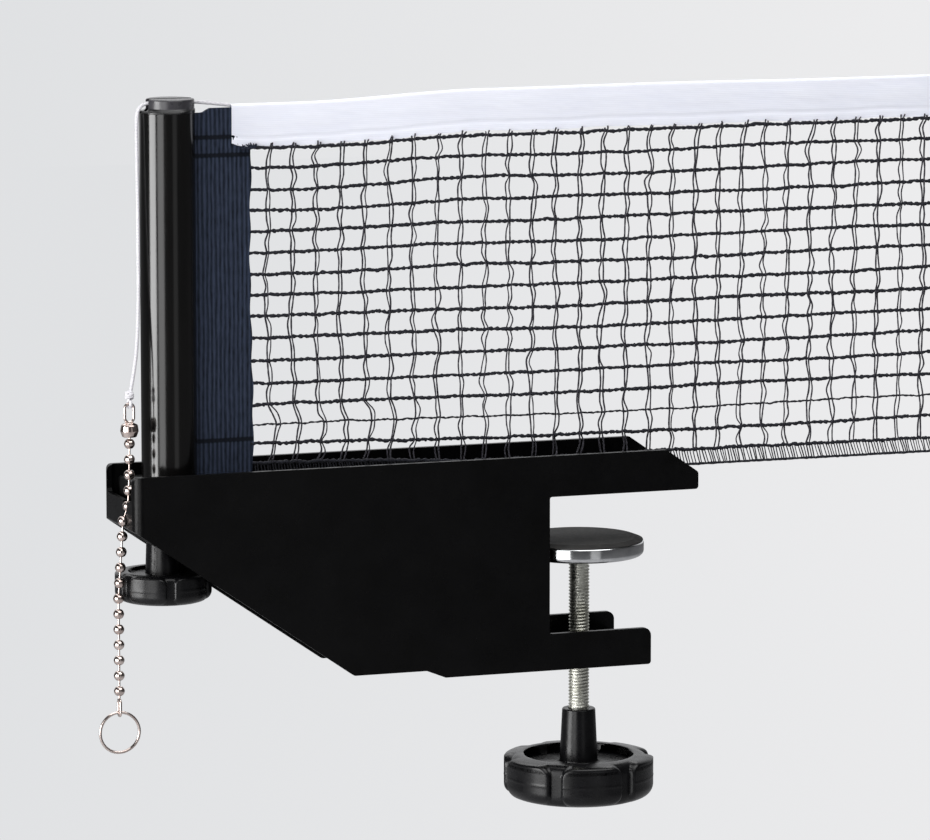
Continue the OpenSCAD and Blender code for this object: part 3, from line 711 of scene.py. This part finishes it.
def clamp_screw():
    """A rolled thread over a core, between the knob's hub and the pad."""
    hub_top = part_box("clamp_knob")[1].z
    cup_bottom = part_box("pad_cup")[0].z
    low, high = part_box("clamp_screw")
    foot = hub_top - 6 * MM
    top = cup_bottom - 0.4 * MM
    turns = int((top - foot) / THREAD_PITCH)
    profile = [(CORE_R, 0.0), (CORE_R, 0.2), (CREST_R, 0.47), (CREST_R, 0.68), (CORE_R, 0.95), (CORE_R, 1.0)]
    thread = string_mesh([(r, 0, foot + share * THREAD_PITCH) for r, share in profile])
    screw = thread.modifiers.new("turns", "SCREW")
    screw.angle = TURN
    screw.screw_offset = THREAD_PITCH
    screw.iterations = turns - 1
    screw.steps = THREAD_STEPS
    screw.render_steps = THREAD_STEPS
    screw.use_merge_vertices = True
    screw.merge_threshold = MERGE
    apply_modifiers(thread)
    close_thread(thread)

    rod = upright_cylinder(CORE_R + 0.02 * MM, low.z, top, 48)
    spigot = upright_cylinder(SPIGOT_R, top - 1 * MM, high.z, 32)
    soften(spigot, 0.2 * MM)
    head = upright_cylinder(HEAD_R, low.z, low.z + HEAD_H, 6)
    soften(head, 0.4 * MM)
    piece = join([thread, rod, spigot, head])
    only(piece)
    bpy.ops.object.shade_smooth_by_angle(angle=SHARP_ANGLE)
    return finish_piece(piece, "rolled_screw", "screw", ROLLED, "zinc_steel", "clamp_screw")


def close_thread(thread):
    """Turns the thread's faces outwards and fills its two open ends."""
    only(thread)
    bpy.ops.object.mode_set(mode="EDIT")
    bpy.ops.mesh.select_all(action="SELECT")
    bpy.ops.mesh.remove_doubles(threshold=MERGE)
    bpy.ops.mesh.select_all(action="DESELECT")
    bpy.ops.mesh.select_mode(type="EDGE")
    bpy.ops.mesh.select_non_manifold(extend=False, use_wire=False, use_multi_face=False,
                                     use_non_contiguous=False, use_verts=False)
    bpy.ops.mesh.edge_face_add()
    bpy.ops.mesh.select_all(action="SELECT")
    bpy.ops.mesh.normals_make_consistent(inside=False)
    bpy.ops.object.mode_set(mode="OBJECT")


clamp_screw()


# ---------------------------------------------------------------- ball chain

BALL_R = 2 * MM
BALL_PITCH = 5.75 * MM
LINK_R = 0.42 * MM
BALL_LIP_Z = 0.93
HANGING_BALLS = 11
STANDING_BALLS = 5
LEANING_BALLS = 5
CHAIN_LEAN = 0.8 * MM
INNER_BALL_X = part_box("bracket_shell")[0].x + 1.2 * MM


def chain_ball(centre):
    """A hollow ball pressed from strip, flattened at its two holes."""
    bpy.ops.mesh.primitive_uv_sphere_add(segments=24, ring_count=17, radius=BALL_R, location=centre)
    ball = bpy.context.active_object
    for vertex in ball.data.vertices:
        if abs(vertex.co.z) > BALL_LIP_Z * BALL_R:
            vertex.co.z *= BALL_LIP_Z
    settle(ball)
    bpy.ops.object.shade_smooth()
    return ball


def link(start, end):
    """The thin rod between two balls."""
    return threads([[(start, 1), (end, 1)]], LINK_R, 8)


def ball_run(centres):
    """Balls at the given centres, with a rod between each two."""
    return [chain_ball(c) for c in centres] + [link(a, b) for a, b in zip(centres, centres[1:])]


def chains():
    """The chain below the slot, which swings, and the chain above it."""
    swing = next(j for j in frame["joints"] if j["name"] == "chain_swing")
    held = Vector(swing["pos_m"])
    hang_x = sum(c.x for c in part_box("pull_ring")) / 2
    hanging = []
    for i in range(1, HANGING_BALLS + 1):
        lean = min(i / LEANING_BALLS, 1)
        hanging.append(Vector((held.x + (hang_x - held.x) * lean, held.y, held.z - i * BALL_PITCH)))
    lower = ball_run(hanging)
    lower.append(link(held + (hanging[0] - held).normalized() * (BALL_R + 0.1 * MM), hanging[0]))
    eyelet_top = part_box("chain_eyelet")[1]
    lower.append(link(hanging[-1], Vector((hang_x, held.y, eyelet_top.z - 0.5 * MM))))
    finish_piece(join(lower), "hanging_chain", "chain", NICKEL, "nickel", "chain_lower")

    connector_low, connector_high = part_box("chain_connector")
    bell_x = (connector_low.x + connector_high.x) / 2
    rise = math.sqrt(BALL_PITCH ** 2 - (INNER_BALL_X - held.x) ** 2)
    upper = [held]
    for i in range(STANDING_BALLS):
        upper.append(Vector((bell_x - CHAIN_LEAN * 0.5 ** i, held.y, held.z + rise + i * BALL_PITCH)))
    pieces = ball_run(upper)
    pieces.append(link(upper[-1], Vector((bell_x, held.y, connector_low.z + 0.5 * MM))))
    finish_piece(join(pieces), "upper_ball_chain", "bracket", NICKEL, "nickel", "chain_upper")


chains()


def wire_ring():
    """A round of wire whose two ends pass each other a little."""
    low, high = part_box("pull_ring")
    centre = (low + high) / 2
    wire = (high.y - low.y) / 2
    radius = (high.x - low.x) / 2 - wire
    lap = math.radians(14)
    start = math.radians(70)
    sweep = TURN - math.radians(3)
    route = []
    steps = 96
    for k in range(steps + 1):
        angle = start + sweep * k / steps
        side = wire * 0.12 * math.sin((k / steps - 0.5) * math.pi)
        grow = wire * 0.1 * math.cos(angle + lap)
        place = centre + Vector(((radius + grow) * math.cos(angle), side, (radius - grow) * math.sin(angle)))
        route.append((place, 1))
    piece = threads([route], wire * 0.86, 12)
    finish_piece(piece, "wire_pull_ring", "ring", NICKEL, "nickel", "pull_ring")


wire_ring()
refined("chain_connector", "bell_connector", NICKEL, "nickel", 0.1 * MM)
refined("chain_eyelet", "chain_end_eyelet", NICKEL, "nickel", 0)


# ---------------------------------------------------------------- net

random.seed(7)
COLUMNS = int((NET_END - 1 * MM - FIRST_COLUMN) / COLUMN_PITCH) + 1
ROW_R = 0.64 * MM
THIN_ROW_R = 0.38 * MM
THIN_ROW = 2
TWINE_R = 0.33 * MM
TWINE_GAP = 1.2 * MM
TUFT_L = 2.0 * MM
CORNER_TUFTS = 26
HATCH_PITCH = 1.15 * MM
HATCH_LEAN = 1.7 * MM
FRONT_FACE = -1.5 * MM
FOOT_LIFT = 3.6 * MM
SLACK_ROW = 3.4
ROW_SLACK = 1.9 * MM
ROW_BELLY = 1.2 * MM
ROW_RIPPLE = 0.25 * MM
PULLED_LENGTH = 120 * MM
STITCH_PITCH = 2.6 * MM


def sag(x):
    """How far the tape's end hangs: all of it near the post, none over the table."""
    if x <= DROOP_FROM:
        return TAPE_DROOP
    if x >= DROOP_TO:
        return 0.0
    return TAPE_DROOP * (1 + math.cos(math.pi * (x - DROOP_FROM) / (DROOP_TO - DROOP_FROM))) / 2


def near_end(x, reach):
    """1 at the sleeve, fading to 0 a given way along the net."""
    share = min(max((x - NET_X) / reach, 0), 1)
    return (1 + math.cos(math.pi * share)) / 2


def row_height(row, x):
    """Height of a net row: drawn up at the foot and hanging at the top beside the sleeve."""
    share = row / ROWS
    lifted = FOOT_LIFT * near_end(x, PULLED_LENGTH) * (1 - share)
    slack = ROW_SLACK * bell(row, SLACK_ROW, 1.6) * near_end(x, 110 * MM)
    belly = ROW_BELLY * share * bell(x, 9 * MM, 85 * MM)
    ripple = ROW_RIPPLE * math.sin(x / (27 * MM) + 1.7 * row)
    top_drop = 0.4 * MM if row == ROWS else 0
    return HEM_TOP + row * ROW_PITCH + lifted - slack - belly - sag(x) * share - top_drop + ripple


def row_threads():
    """The level strings: knitted, so thick and lumpy, apart from one thin row."""
    thick, thin = [], []
    step = 0.6 * MM
    count = int((NET_END - NET_X) / step)
    for row in range(ROWS + 1):
        route = []
        drift = 0.0
        for k in range(count + 1):
            x = NET_X - 0.8 * MM + (NET_END - NET_X + 0.3 * MM) * k / count
            drift = 0.8 * drift + random.gauss(0, 0.1 * MM)
            stitch = math.sin(TURN * x / STITCH_PITCH + row)
            lump = 1 + 0.2 * stitch + random.uniform(-0.2, 0.28)
            drift -= 0.05 * MM * max(stitch, 0)
            depth = 0.12 * MM * math.sin(TURN * x / (1.9 * MM) + 2 * row)
            front = FRONT_FACE + 0.15 * MM if row == ROWS else 0
            place = Vector((x, front + depth, row_height(row, x) + drift))
            route.append((place, lump))
        (thin if row == THIN_ROW else thick).append(route)
    return [threads(thick, ROW_R, 6), threads(thin, THIN_ROW_R, 6)]


def column_shift(x, row):
    """The mesh leans over in the slack rows beside the sleeve."""
    to_right = 3.2 * MM * bell(row, 2, 0.6) + 1.2 * MM * bell(row, 1, 0.6)
    to_left = 1.0 * MM * bell(row, 8, 2.5)
    return near_end(x, PULLED_LENGTH) * (to_right - to_left)


def twine_pair(x):
    """Two thin threads that hang side by side, held at each row and loose between."""
    gaps = [TWINE_GAP * random.uniform(0.65, 1.1) for _ in range(ROWS + 1)]
    knots = [random.gauss(0, 0.4 * MM) for _ in range(ROWS + 1)]
    wanders = [random.gauss(0, 0.5 * MM) for _ in range(ROWS)]
    routes = []
    for side in (-1, 1):
        points = []
        for row in range(ROWS + 1):
            at = x + knots[row] + column_shift(x, row)
            height = row_height(row, x)
            face = -0.45 * MM if (row + (side > 0)) % 2 else 0.45 * MM
            if row == ROWS:
                face = FRONT_FACE - 0.35 * MM
            points.append(Vector((at + side * gaps[row] / 2 + random.gauss(0, 0.1 * MM), face, height)))
            if row < ROWS:
                rise = row_height(row + 1, x) - height
                mid = x + (knots[row] + knots[row + 1]) / 2
                mid += (column_shift(x, row) + column_shift(x, row + 1)) / 2
                wander = wanders[row] + random.gauss(0, 0.18 * MM)
                points.append(Vector((mid + side * TWINE_GAP * 0.55 + wander, random.gauss(0, 0.25 * MM),
                                      height + rise * random.uniform(0.4, 0.6))))
        top = points[-1]
        aside = random.gauss(0.4 * MM, 0.4 * MM)
        points.append(top + Vector((aside, -0.1 * MM, TUFT_L * random.uniform(0.6, 1.1))))
        routes.append([(p, random.uniform(0.85, 1.15)) for p in smooth_route(points, 4)])
    return routes


def column_threads():
    """All the upright twines."""
    routes = []
    for i in range(COLUMNS):
        routes += twine_pair(FIRST_COLUMN + i * COLUMN_PITCH)
    return threads(routes, TWINE_R, 4)


def lace_threads():
    """The hem: slanting stitches between two strings."""
    stitches = []
    x = NET_X + 1 * MM
    while x < NET_END - 2.5 * MM:
        top = row_height(0, x)
        drop = top - HEM_FOOT - 0.5 * MM
        lean = HATCH_LEAN * random.uniform(0.7, 1.2)
        start = Vector((x, random.uniform(-0.3, 0.3) * MM, top))
        middle = start + Vector((lean * 0.5, random.uniform(-0.3, 0.3) * MM, -drop / 2))
        end = start + Vector((lean, 0, -drop))
        stitches.append([(start, 1), (middle, random.uniform(0.8, 1.2)), (end, 1)])
        x += HATCH_PITCH * random.uniform(0.8, 1.2)
    foot = []
    count = int((NET_END - NET_X) / MM)
    for k in range(count + 1):
        x = NET_X + (NET_END - 0.5 * MM - NET_X) * k / count
        height = HEM_FOOT + 0.6 * MM + random.gauss(0, 0.05 * MM)
        foot.append((Vector((x, 0, height)), random.uniform(0.85, 1.2)))
    return join([threads(stitches, 0.24 * MM, 4), threads([foot], 0.5 * MM, 6)])


def corner_tufts():
    """Frayed ends of the sleeve's threads over the tape's lower corner."""
    tufts = []
    middle = NET_TOP - TAPE_H - TAPE_DROOP
    for _ in range(CORNER_TUFTS):
        x = NET_X + random.uniform(-3.8, 1.6) * MM
        start = Vector((x, FRONT_FACE - 0.35 * MM, middle + random.uniform(-1.0, 0.4) * MM))
        reach = Vector((random.gauss(0.2, 0.8), random.uniform(-0.5, 0), random.uniform(0.5, 1.5))) * MM
        tufts.append([(start, 1), (start + reach * 0.6, 1), (start + reach, 0.5)])
    return threads(tufts, 0.3 * MM, 4)


def net_cloth():
    """The net's level strings, twines, hem and frayed corner."""
    rows = join(row_threads())
    finish_piece(rows, "net_level_strings", "post", NET_YARN, "net_cord")
    columns = column_threads()
    finish_piece(columns, "net_upright_twines", "post", NET_TWINE, "net_cord", "net_mesh")
    lace = lace_threads()
    finish_piece(lace, "net_lace_hem", "post", NET_YARN, "net_cord", "net_hem")
    tufts = corner_tufts()
    finish_piece(tufts, "sleeve_corner_tufts", "post", TUFT_NAVY, "navy_fabric")
    return [rows, columns, lace, tufts]


net_pieces = net_cloth()


# ---------------------------------------------------------------- tape

TAPE_T = 0.4 * MM
TAPE_HALF_W = 1.25 * MM
FOLD_H = 1.1 * MM
SEAM_UP = 3.3 * MM


def tape_half_width(up):
    """Half the folded tape's thickness at a height over its lower edge."""
    body = TAPE_HALF_W + 0.15 * MM * bell(up, 10 * MM, 4 * MM)
    return body - 0.28 * MM * bell(up, SEAM_UP, 0.5 * MM) + 0.1 * MM * bell(up, 0, 1 * MM)


def tape_outline(lower, upper, raised_end):
    """The folded tape's cross-section as (y, z) points: down its outside and back up its inside."""
    half_steps = 22
    fold = 6
    outline = []
    for k in range(half_steps + 1):
        share = k / half_steps
        z = lower + raised_end * (1 - share) + (upper - lower - raised_end * (1 - share)) * share
        outline.append((tape_half_width((upper - lower) * share), z))
    top_w, top_z = outline[-1]
    for k in range(1, fold):
        angle = math.pi / 2 * k / fold
        outline.append((top_w * math.cos(angle), top_z + FOLD_H * math.sin(angle)))
    outer = [(-w, z) for w, z in outline] + [(0.0, top_z + FOLD_H)] + [(w, z) for w, z in reversed(outline)]
    inner = []
    for w, z in reversed(outer):
        inwards = TAPE_T * (1 if w > 0 else -1 if w < 0 else 0)
        down = TAPE_T if abs(w) < top_w * 0.99 else 0
        inner.append((w - inwards, z - down))
    return outer + inner


def net_tape():
    """White tape folded over the net's top and sewn along its lower edge."""
    stations = 150
    points = []
    for station in range(stations + 1):
        x = TAPE_X + (NET_END - TAPE_X) * station / stations
        lower = NET_TOP - TAPE_H - sag(x)
        lower += 0.22 * MM * math.sin(x / (9 * MM)) + 0.12 * MM * math.sin(x / (3.7 * MM))
        raised_end = 1.6 * MM * math.exp(-(x - TAPE_X) / (3 * MM))
        upper = NET_TOP - FOLD_H - sag(x) + 0.15 * MM * math.sin(x / (21 * MM))
        sway = 0.25 * MM * math.sin(x / (33 * MM)) + 0.1 * MM * math.sin(x / (8 * MM))
        points += [Vector((x, sway + y, z)) for y, z in tape_outline(lower, upper, raised_end)]
    around = len(points) // (stations + 1)
    faces = grid_faces(around, stations + 1, wrap=True)
    for base in (0, stations * around):
        last = base + around - 1
        for k in range(around // 2 - 1):
            faces.append((base + k, base + k + 1, last - 1 - k, last - k))
    piece = mesh_piece(points, faces)
    bpy.ops.object.shade_smooth_by_angle(angle=CLOTH_FOLD)
    finish_piece(piece, "folded_top_tape", "post", TAPE_WHITE, "white_tape", "net_tape")
    return piece


net_tape()


# ---------------------------------------------------------------- sleeve

SLEEVE_LAYER = 0.7 * MM
RIB_H = 0.16 * MM
SEAM_DEPTH = 0.22 * MM
PUCKER_H = 0.10 * MM
CRUMPLE_H = 0.3 * MM
CRUMPLED_Z = 134 * MM
ROD_R = 2.5 * MM
BAND_TOP_AT_POST = 146.4 * MM
BAND_TOP_AT_TAPE = 148.0 * MM
LOOP_R = ROD_R + SLEEVE_LAYER / 2 + 0.05 * MM


def sleeve_top(x):
    """The band's upper edge: lower beside the post, then up to the tape."""
    share = min(max((x - SLEEVE_X - 2.5 * MM) / (4 * MM), 0), 1)
    return BAND_TOP_AT_POST + (BAND_TOP_AT_TAPE - BAND_TOP_AT_POST) * share * share * (3 - 2 * share)


def sleeve_path():
    """Seen from above: from the net's edge to the rod, round it, and back on the other side."""
    layer = SLEEVE_LAYER / 2 + 0.06 * MM
    step = RIB_PITCH / 4
    flat = [(NET_X - k * step, -layer) for k in range(int((NET_X - SLEEVE_X) / step) + 1)]
    neck = POST_X + math.sqrt(LOOP_R ** 2 - layer ** 2)
    near = flat[-1][0]
    flat += [(near + (neck - near) * k / 6, -layer) for k in range(1, 7)]
    start = math.asin(layer / LOOP_R)
    loop = []
    for k in range(1, 24):
        angle = -start - (TURN - 2 * start) * k / 24
        loop.append((POST_X + LOOP_R * math.cos(angle), LOOP_R * math.sin(angle)))
    return flat + loop + [(x, -y) for x, y in reversed(flat)]


def sleeve_point(x, y, z):
    """A point of the band with its ribs, drawn-in seams, crumpled top and wavering edge."""
    edge = 0.5 * MM * math.sin(z / (19 * MM)) * bell(x, NET_X, 3 * MM)
    edge += 0.3 * MM * math.sin(z / (3.1 * MM)) * bell(x, NET_X, 0.8 * MM)
    if x <= SLEEVE_X + 0.1 * MM:
        return Vector((x + edge, y, z))
    side = 1 if y > 0 else -1
    rib = RIB_H * abs(math.sin(math.pi * x / RIB_PITCH))
    seam = SEAM_DEPTH * sum(bell(z, s, 0.7 * MM) for s in SLEEVE_SEAMS)
    pucker = PUCKER_H * math.sin(x / (1.7 * MM)) * sum(bell(z, s, 3 * MM) for s in SLEEVE_SEAMS)
    crumple = bell(z, CRUMPLED_Z, 3.2 * MM) * min(max((x - SLEEVE_X) / (4 * MM), 0), 1)
    pucker += CRUMPLE_H * crumple * math.sin(x / (1.1 * MM) + z / (0.9 * MM))
    sway = 0.25 * MM * math.sin(z / (17 * MM)) * (x - SLEEVE_X) / (NET_X - SLEEVE_X)
    return Vector((x + edge, y + side * (rib + pucker - seam) + sway, z))


def sleeve():
    """Ribbed navy band, doubled round the rod inside the post."""
    path = sleeve_path()
    rod_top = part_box("net_rod")[1].z
    rows = 70
    bottom = band_low.z
    points = []
    for row in range(rows + 1):
        for x, y in path:
            top = sleeve_top(x) if x > SLEEVE_X - 0.2 * MM else rod_top
            points.append(sleeve_point(x, y, bottom + (top - bottom) * row / rows))
    piece = mesh_piece(points, grid_faces(len(path), rows + 1))
    thick = piece.modifiers.new("layer", "SOLIDIFY")
    thick.thickness = SLEEVE_LAYER
    thick.offset = 0
    apply_modifiers(piece)
    bpy.ops.object.shade_smooth_by_angle(angle=CLOTH_FOLD)
    finish_piece(piece, "ribbed_sleeve", "post", NAVY, "navy_fabric", "net_sleeve")
    return piece


sleeve()


# ---------------------------------------------------------------- tension cord

# The cord's route from the tape's end over the cap and down to the connector, in millimetres
CORD_ROUTE = [
    (-137.8, 0, 148.9), (-141, 0, 149.3), (-146, 0, 149.9), (-151, 0, 150.4),
    (-156, 0, 150.6), (-162, 0, 150.6), (-167, 0, 150.6), (-169.5, -0.2, 150.4),
    (-171.4, -0.4, 149.8), (-172.8, -0.7, 148.6), (-173.6, -1, 146.6),
    (-173.9, -1.2, 142), (-174, -1.5, 132), (-174, -1.9, 120), (-174.1, -2.5, 108),
    (-174.3, -3.2, 96), (-174.6, -4.1, 84), (-175.2, -5.1, 72), (-176, -6, 62),
    (-177.2, -6.7, 54), (-178.6, -7.2, 47), (-179.4, -7.5, 42.4),
]
CORD_D = 1.3 * MM
KNOT_R = 1.15 * MM


def cord_knot(end):
    """The cord's end: once round the connector's wire and twice round itself."""
    wire_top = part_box("chain_connector")[1].z - 0.5 * MM
    hitch = []
    for k in range(25):
        share = k / 24
        around = Vector((0, 1.3 * math.sin(TURN * share), -1.2 * math.cos(TURN * share))) * MM
        hitch.append((Vector((end.x + 0.5 * MM * (share - 0.5), end.y, wire_top)) + around, 1))
    turns = []
    for k in range(49):
        angle = TURN * k / 20
        around = Vector((math.cos(angle), math.sin(angle), 0)) * KNOT_R
        turns.append((end + around + Vector((0, 0, (0.9 + 1.9 * k / 48) * MM)), 1))
    tail_start = turns[-1][0]
    turns.append((tail_start + Vector((0.9, -0.4, 0.5)) * MM, 1))
    turns.append((tail_start + Vector((1.9, -0.6, 0.2)) * MM, 1.1))
    knot = threads([hitch, turns], CORD_D / 2 * 0.92, 8)
    return finish_piece(knot, "cord_end_knot", "bracket", BRAID, "white_cord")


def tension_cord():
    """The white cord, from the tape's end over the cap on the post and down to the connector on the bracket.
    """
    points = [Vector(p) * MM for p in CORD_ROUTE]
    route = smooth_route(points, 6)
    piece = threads([[(p, 1) for p in route]], CORD_D / 2, 12)
    piece.name = "net_tension_cord"
    piece.data.materials.append(BRAID)
    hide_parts("tension_cord")
    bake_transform(piece)
    cord_knot(route[-1])


tension_cord()


# ---------------------------------------------------------------- floor and light

PALE = (0.78, 0.785, 0.80)
PALE_LEFT = (0.745, 0.755, 0.77)
PALE_RIGHT = (0.84, 0.84, 0.85)
FRONT_DIM = (0.07, 0.07, 0.072)
FLOOR_DROP = 0.35
RIGHTWARDS = Vector((math.cos(VIEW_AZIMUTH), math.sin(VIEW_AZIMUTH), 0))


def area_lamp(name, azimuth, elevation, distance, width, height, radiance):
    """A soft box that faces the object, with its angles in degrees and its sizes in metres.

    Its radiance is what a mirror would show of it.
    """
    lamp = bpy.data.lights.new(name, "AREA")
    lamp.shape = "RECTANGLE"
    lamp.size = width
    lamp.size_y = height
    lamp.energy = radiance * width * height * math.pi
    rig = bpy.data.objects.new(name, lamp)
    bpy.context.scene.collection.objects.link(rig)
    back = direction(math.radians(azimuth), math.radians(elevation))
    rig.location = VIEW_TARGET + back * distance
    rig.rotation_euler = (-back).to_track_quat("-Z", "Y").to_euler()


def lights():
    """Two boxes and a card for the upright gleams on the post, and broad light from above."""
    area_lamp("left_box", -81, -1, 1.3, 0.60, 0.7, 11.3)
    area_lamp("left_strip", -48, 1, 1.4, 0.60, 1.1, 3.4)
    area_lamp("front_card", 10, 0, 1.5, 0.46, 1.0, 0.4)
    area_lamp("high_front", 13, 54, 1.6, 1.7, 1.1, 3.2)
    area_lamp("high_back", 176, 48, 1.7, 1.6, 1.0, 2.2)
    area_lamp("overhead", -20, 86, 1.5, 1.8, 0.9, 2.2)


def pale_gradient(nodes, links, across, low, high):
    """The studio's pale grey, a little brighter towards the right."""
    ramp = nodes.new("ShaderNodeValToRGB")
    ramp.color_ramp.elements[0].color = (*PALE_LEFT, 1)
    ramp.color_ramp.elements[1].color = (*PALE_RIGHT, 1)
    spread = nodes.new("ShaderNodeMapRange")
    spread.inputs["From Min"].default_value = low
    spread.inputs["From Max"].default_value = high
    links.new(across, spread.inputs["Value"])
    links.new(spread.outputs["Result"], ramp.inputs["Fac"])
    return ramp.outputs["Color"]


def along(nodes, links, place, axis):
    """How far a place lies along an axis."""
    dot = nodes.new("ShaderNodeVectorMath")
    dot.operation = "DOT_PRODUCT"
    dot.inputs[1].default_value = axis
    links.new(place, dot.inputs[0])
    return dot.outputs["Value"]


def world():
    """A pale studio: light behind the object and dim in front of it."""
    studio = bpy.data.worlds.new("studio")
    studio.use_nodes = True
    bpy.context.scene.world = studio
    nodes = studio.node_tree.nodes
    links = studio.node_tree.links
    place = nodes.new("ShaderNodeTexCoord").outputs["Generated"]
    behind = along(nodes, links, place, -direction(VIEW_AZIMUTH, math.radians(-8)))
    ramp = nodes.new("ShaderNodeValToRGB")
    ramp.color_ramp.elements[0].position = 0.55
    ramp.color_ramp.elements[0].color = (*FRONT_DIM, 1)
    ramp.color_ramp.elements[1].position = 0.90
    ramp.color_ramp.elements[1].color = (*PALE, 1)
    links.new(behind, ramp.inputs["Fac"])
    rays = nodes.new("ShaderNodeLightPath")
    mix = nodes.new("ShaderNodeMix")
    mix.data_type = "RGBA"
    links.new(rays.outputs["Is Camera Ray"], mix.inputs["Factor"])
    links.new(ramp.outputs["Color"], mix.inputs[6])
    across = along(nodes, links, place, RIGHTWARDS)
    links.new(pale_gradient(nodes, links, across, -0.08, 0.08), mix.inputs[7])
    links.new(mix.outputs[2], nodes["Background"].inputs["Color"])


def floor():
    """A wide pale floor well below the clamp. Away from the clamp it is as pale as the studio."""
    bpy.ops.mesh.primitive_plane_add(size=12, location=(0, 0, cad_low.z - FLOOR_DROP))
    plane = bpy.context.active_object
    plane.name = "floor"
    finish = Finish("floor_grey", (0.45, 0.45, 0.46), 0.9)
    finish.shade(finish.noise(0.4), (0.44, 0.44, 0.45), (0.47, 0.47, 0.48))
    glow = finish.nodes.new("ShaderNodeEmission")
    across = along(finish.nodes, finish.links, finish.place, RIGHTWARDS)
    finish.links.new(pale_gradient(finish.nodes, finish.links, across, -0.42, 0.42), glow.inputs["Color"])
    rays = finish.nodes.new("ShaderNodeLightPath")
    mix = finish.nodes.new("ShaderNodeMixShader")
    reach = finish.nodes.new("ShaderNodeVectorMath")
    reach.operation = "LENGTH"
    finish.links.new(finish.place, reach.inputs[0])
    glowing = finish.spread(reach.outputs["Value"], 0.85, 1.0, 0.8, 1.3)
    share = finish.math("MULTIPLY", rays.outputs["Is Camera Ray"], glowing)
    finish.links.new(share, mix.inputs["Fac"])
    finish.links.new(finish.shader.outputs["BSDF"], mix.inputs[1])
    finish.links.new(glow.outputs["Emission"], mix.inputs[2])
    finish.links.new(mix.outputs["Shader"], finish.nodes["Material Output"].inputs["Surface"])
    plane.data.materials.append(finish.material)


lights()
world()
floor()
bpy.context.scene.view_settings.view_transform = "Standard"

bpy.context.view_layer.update()
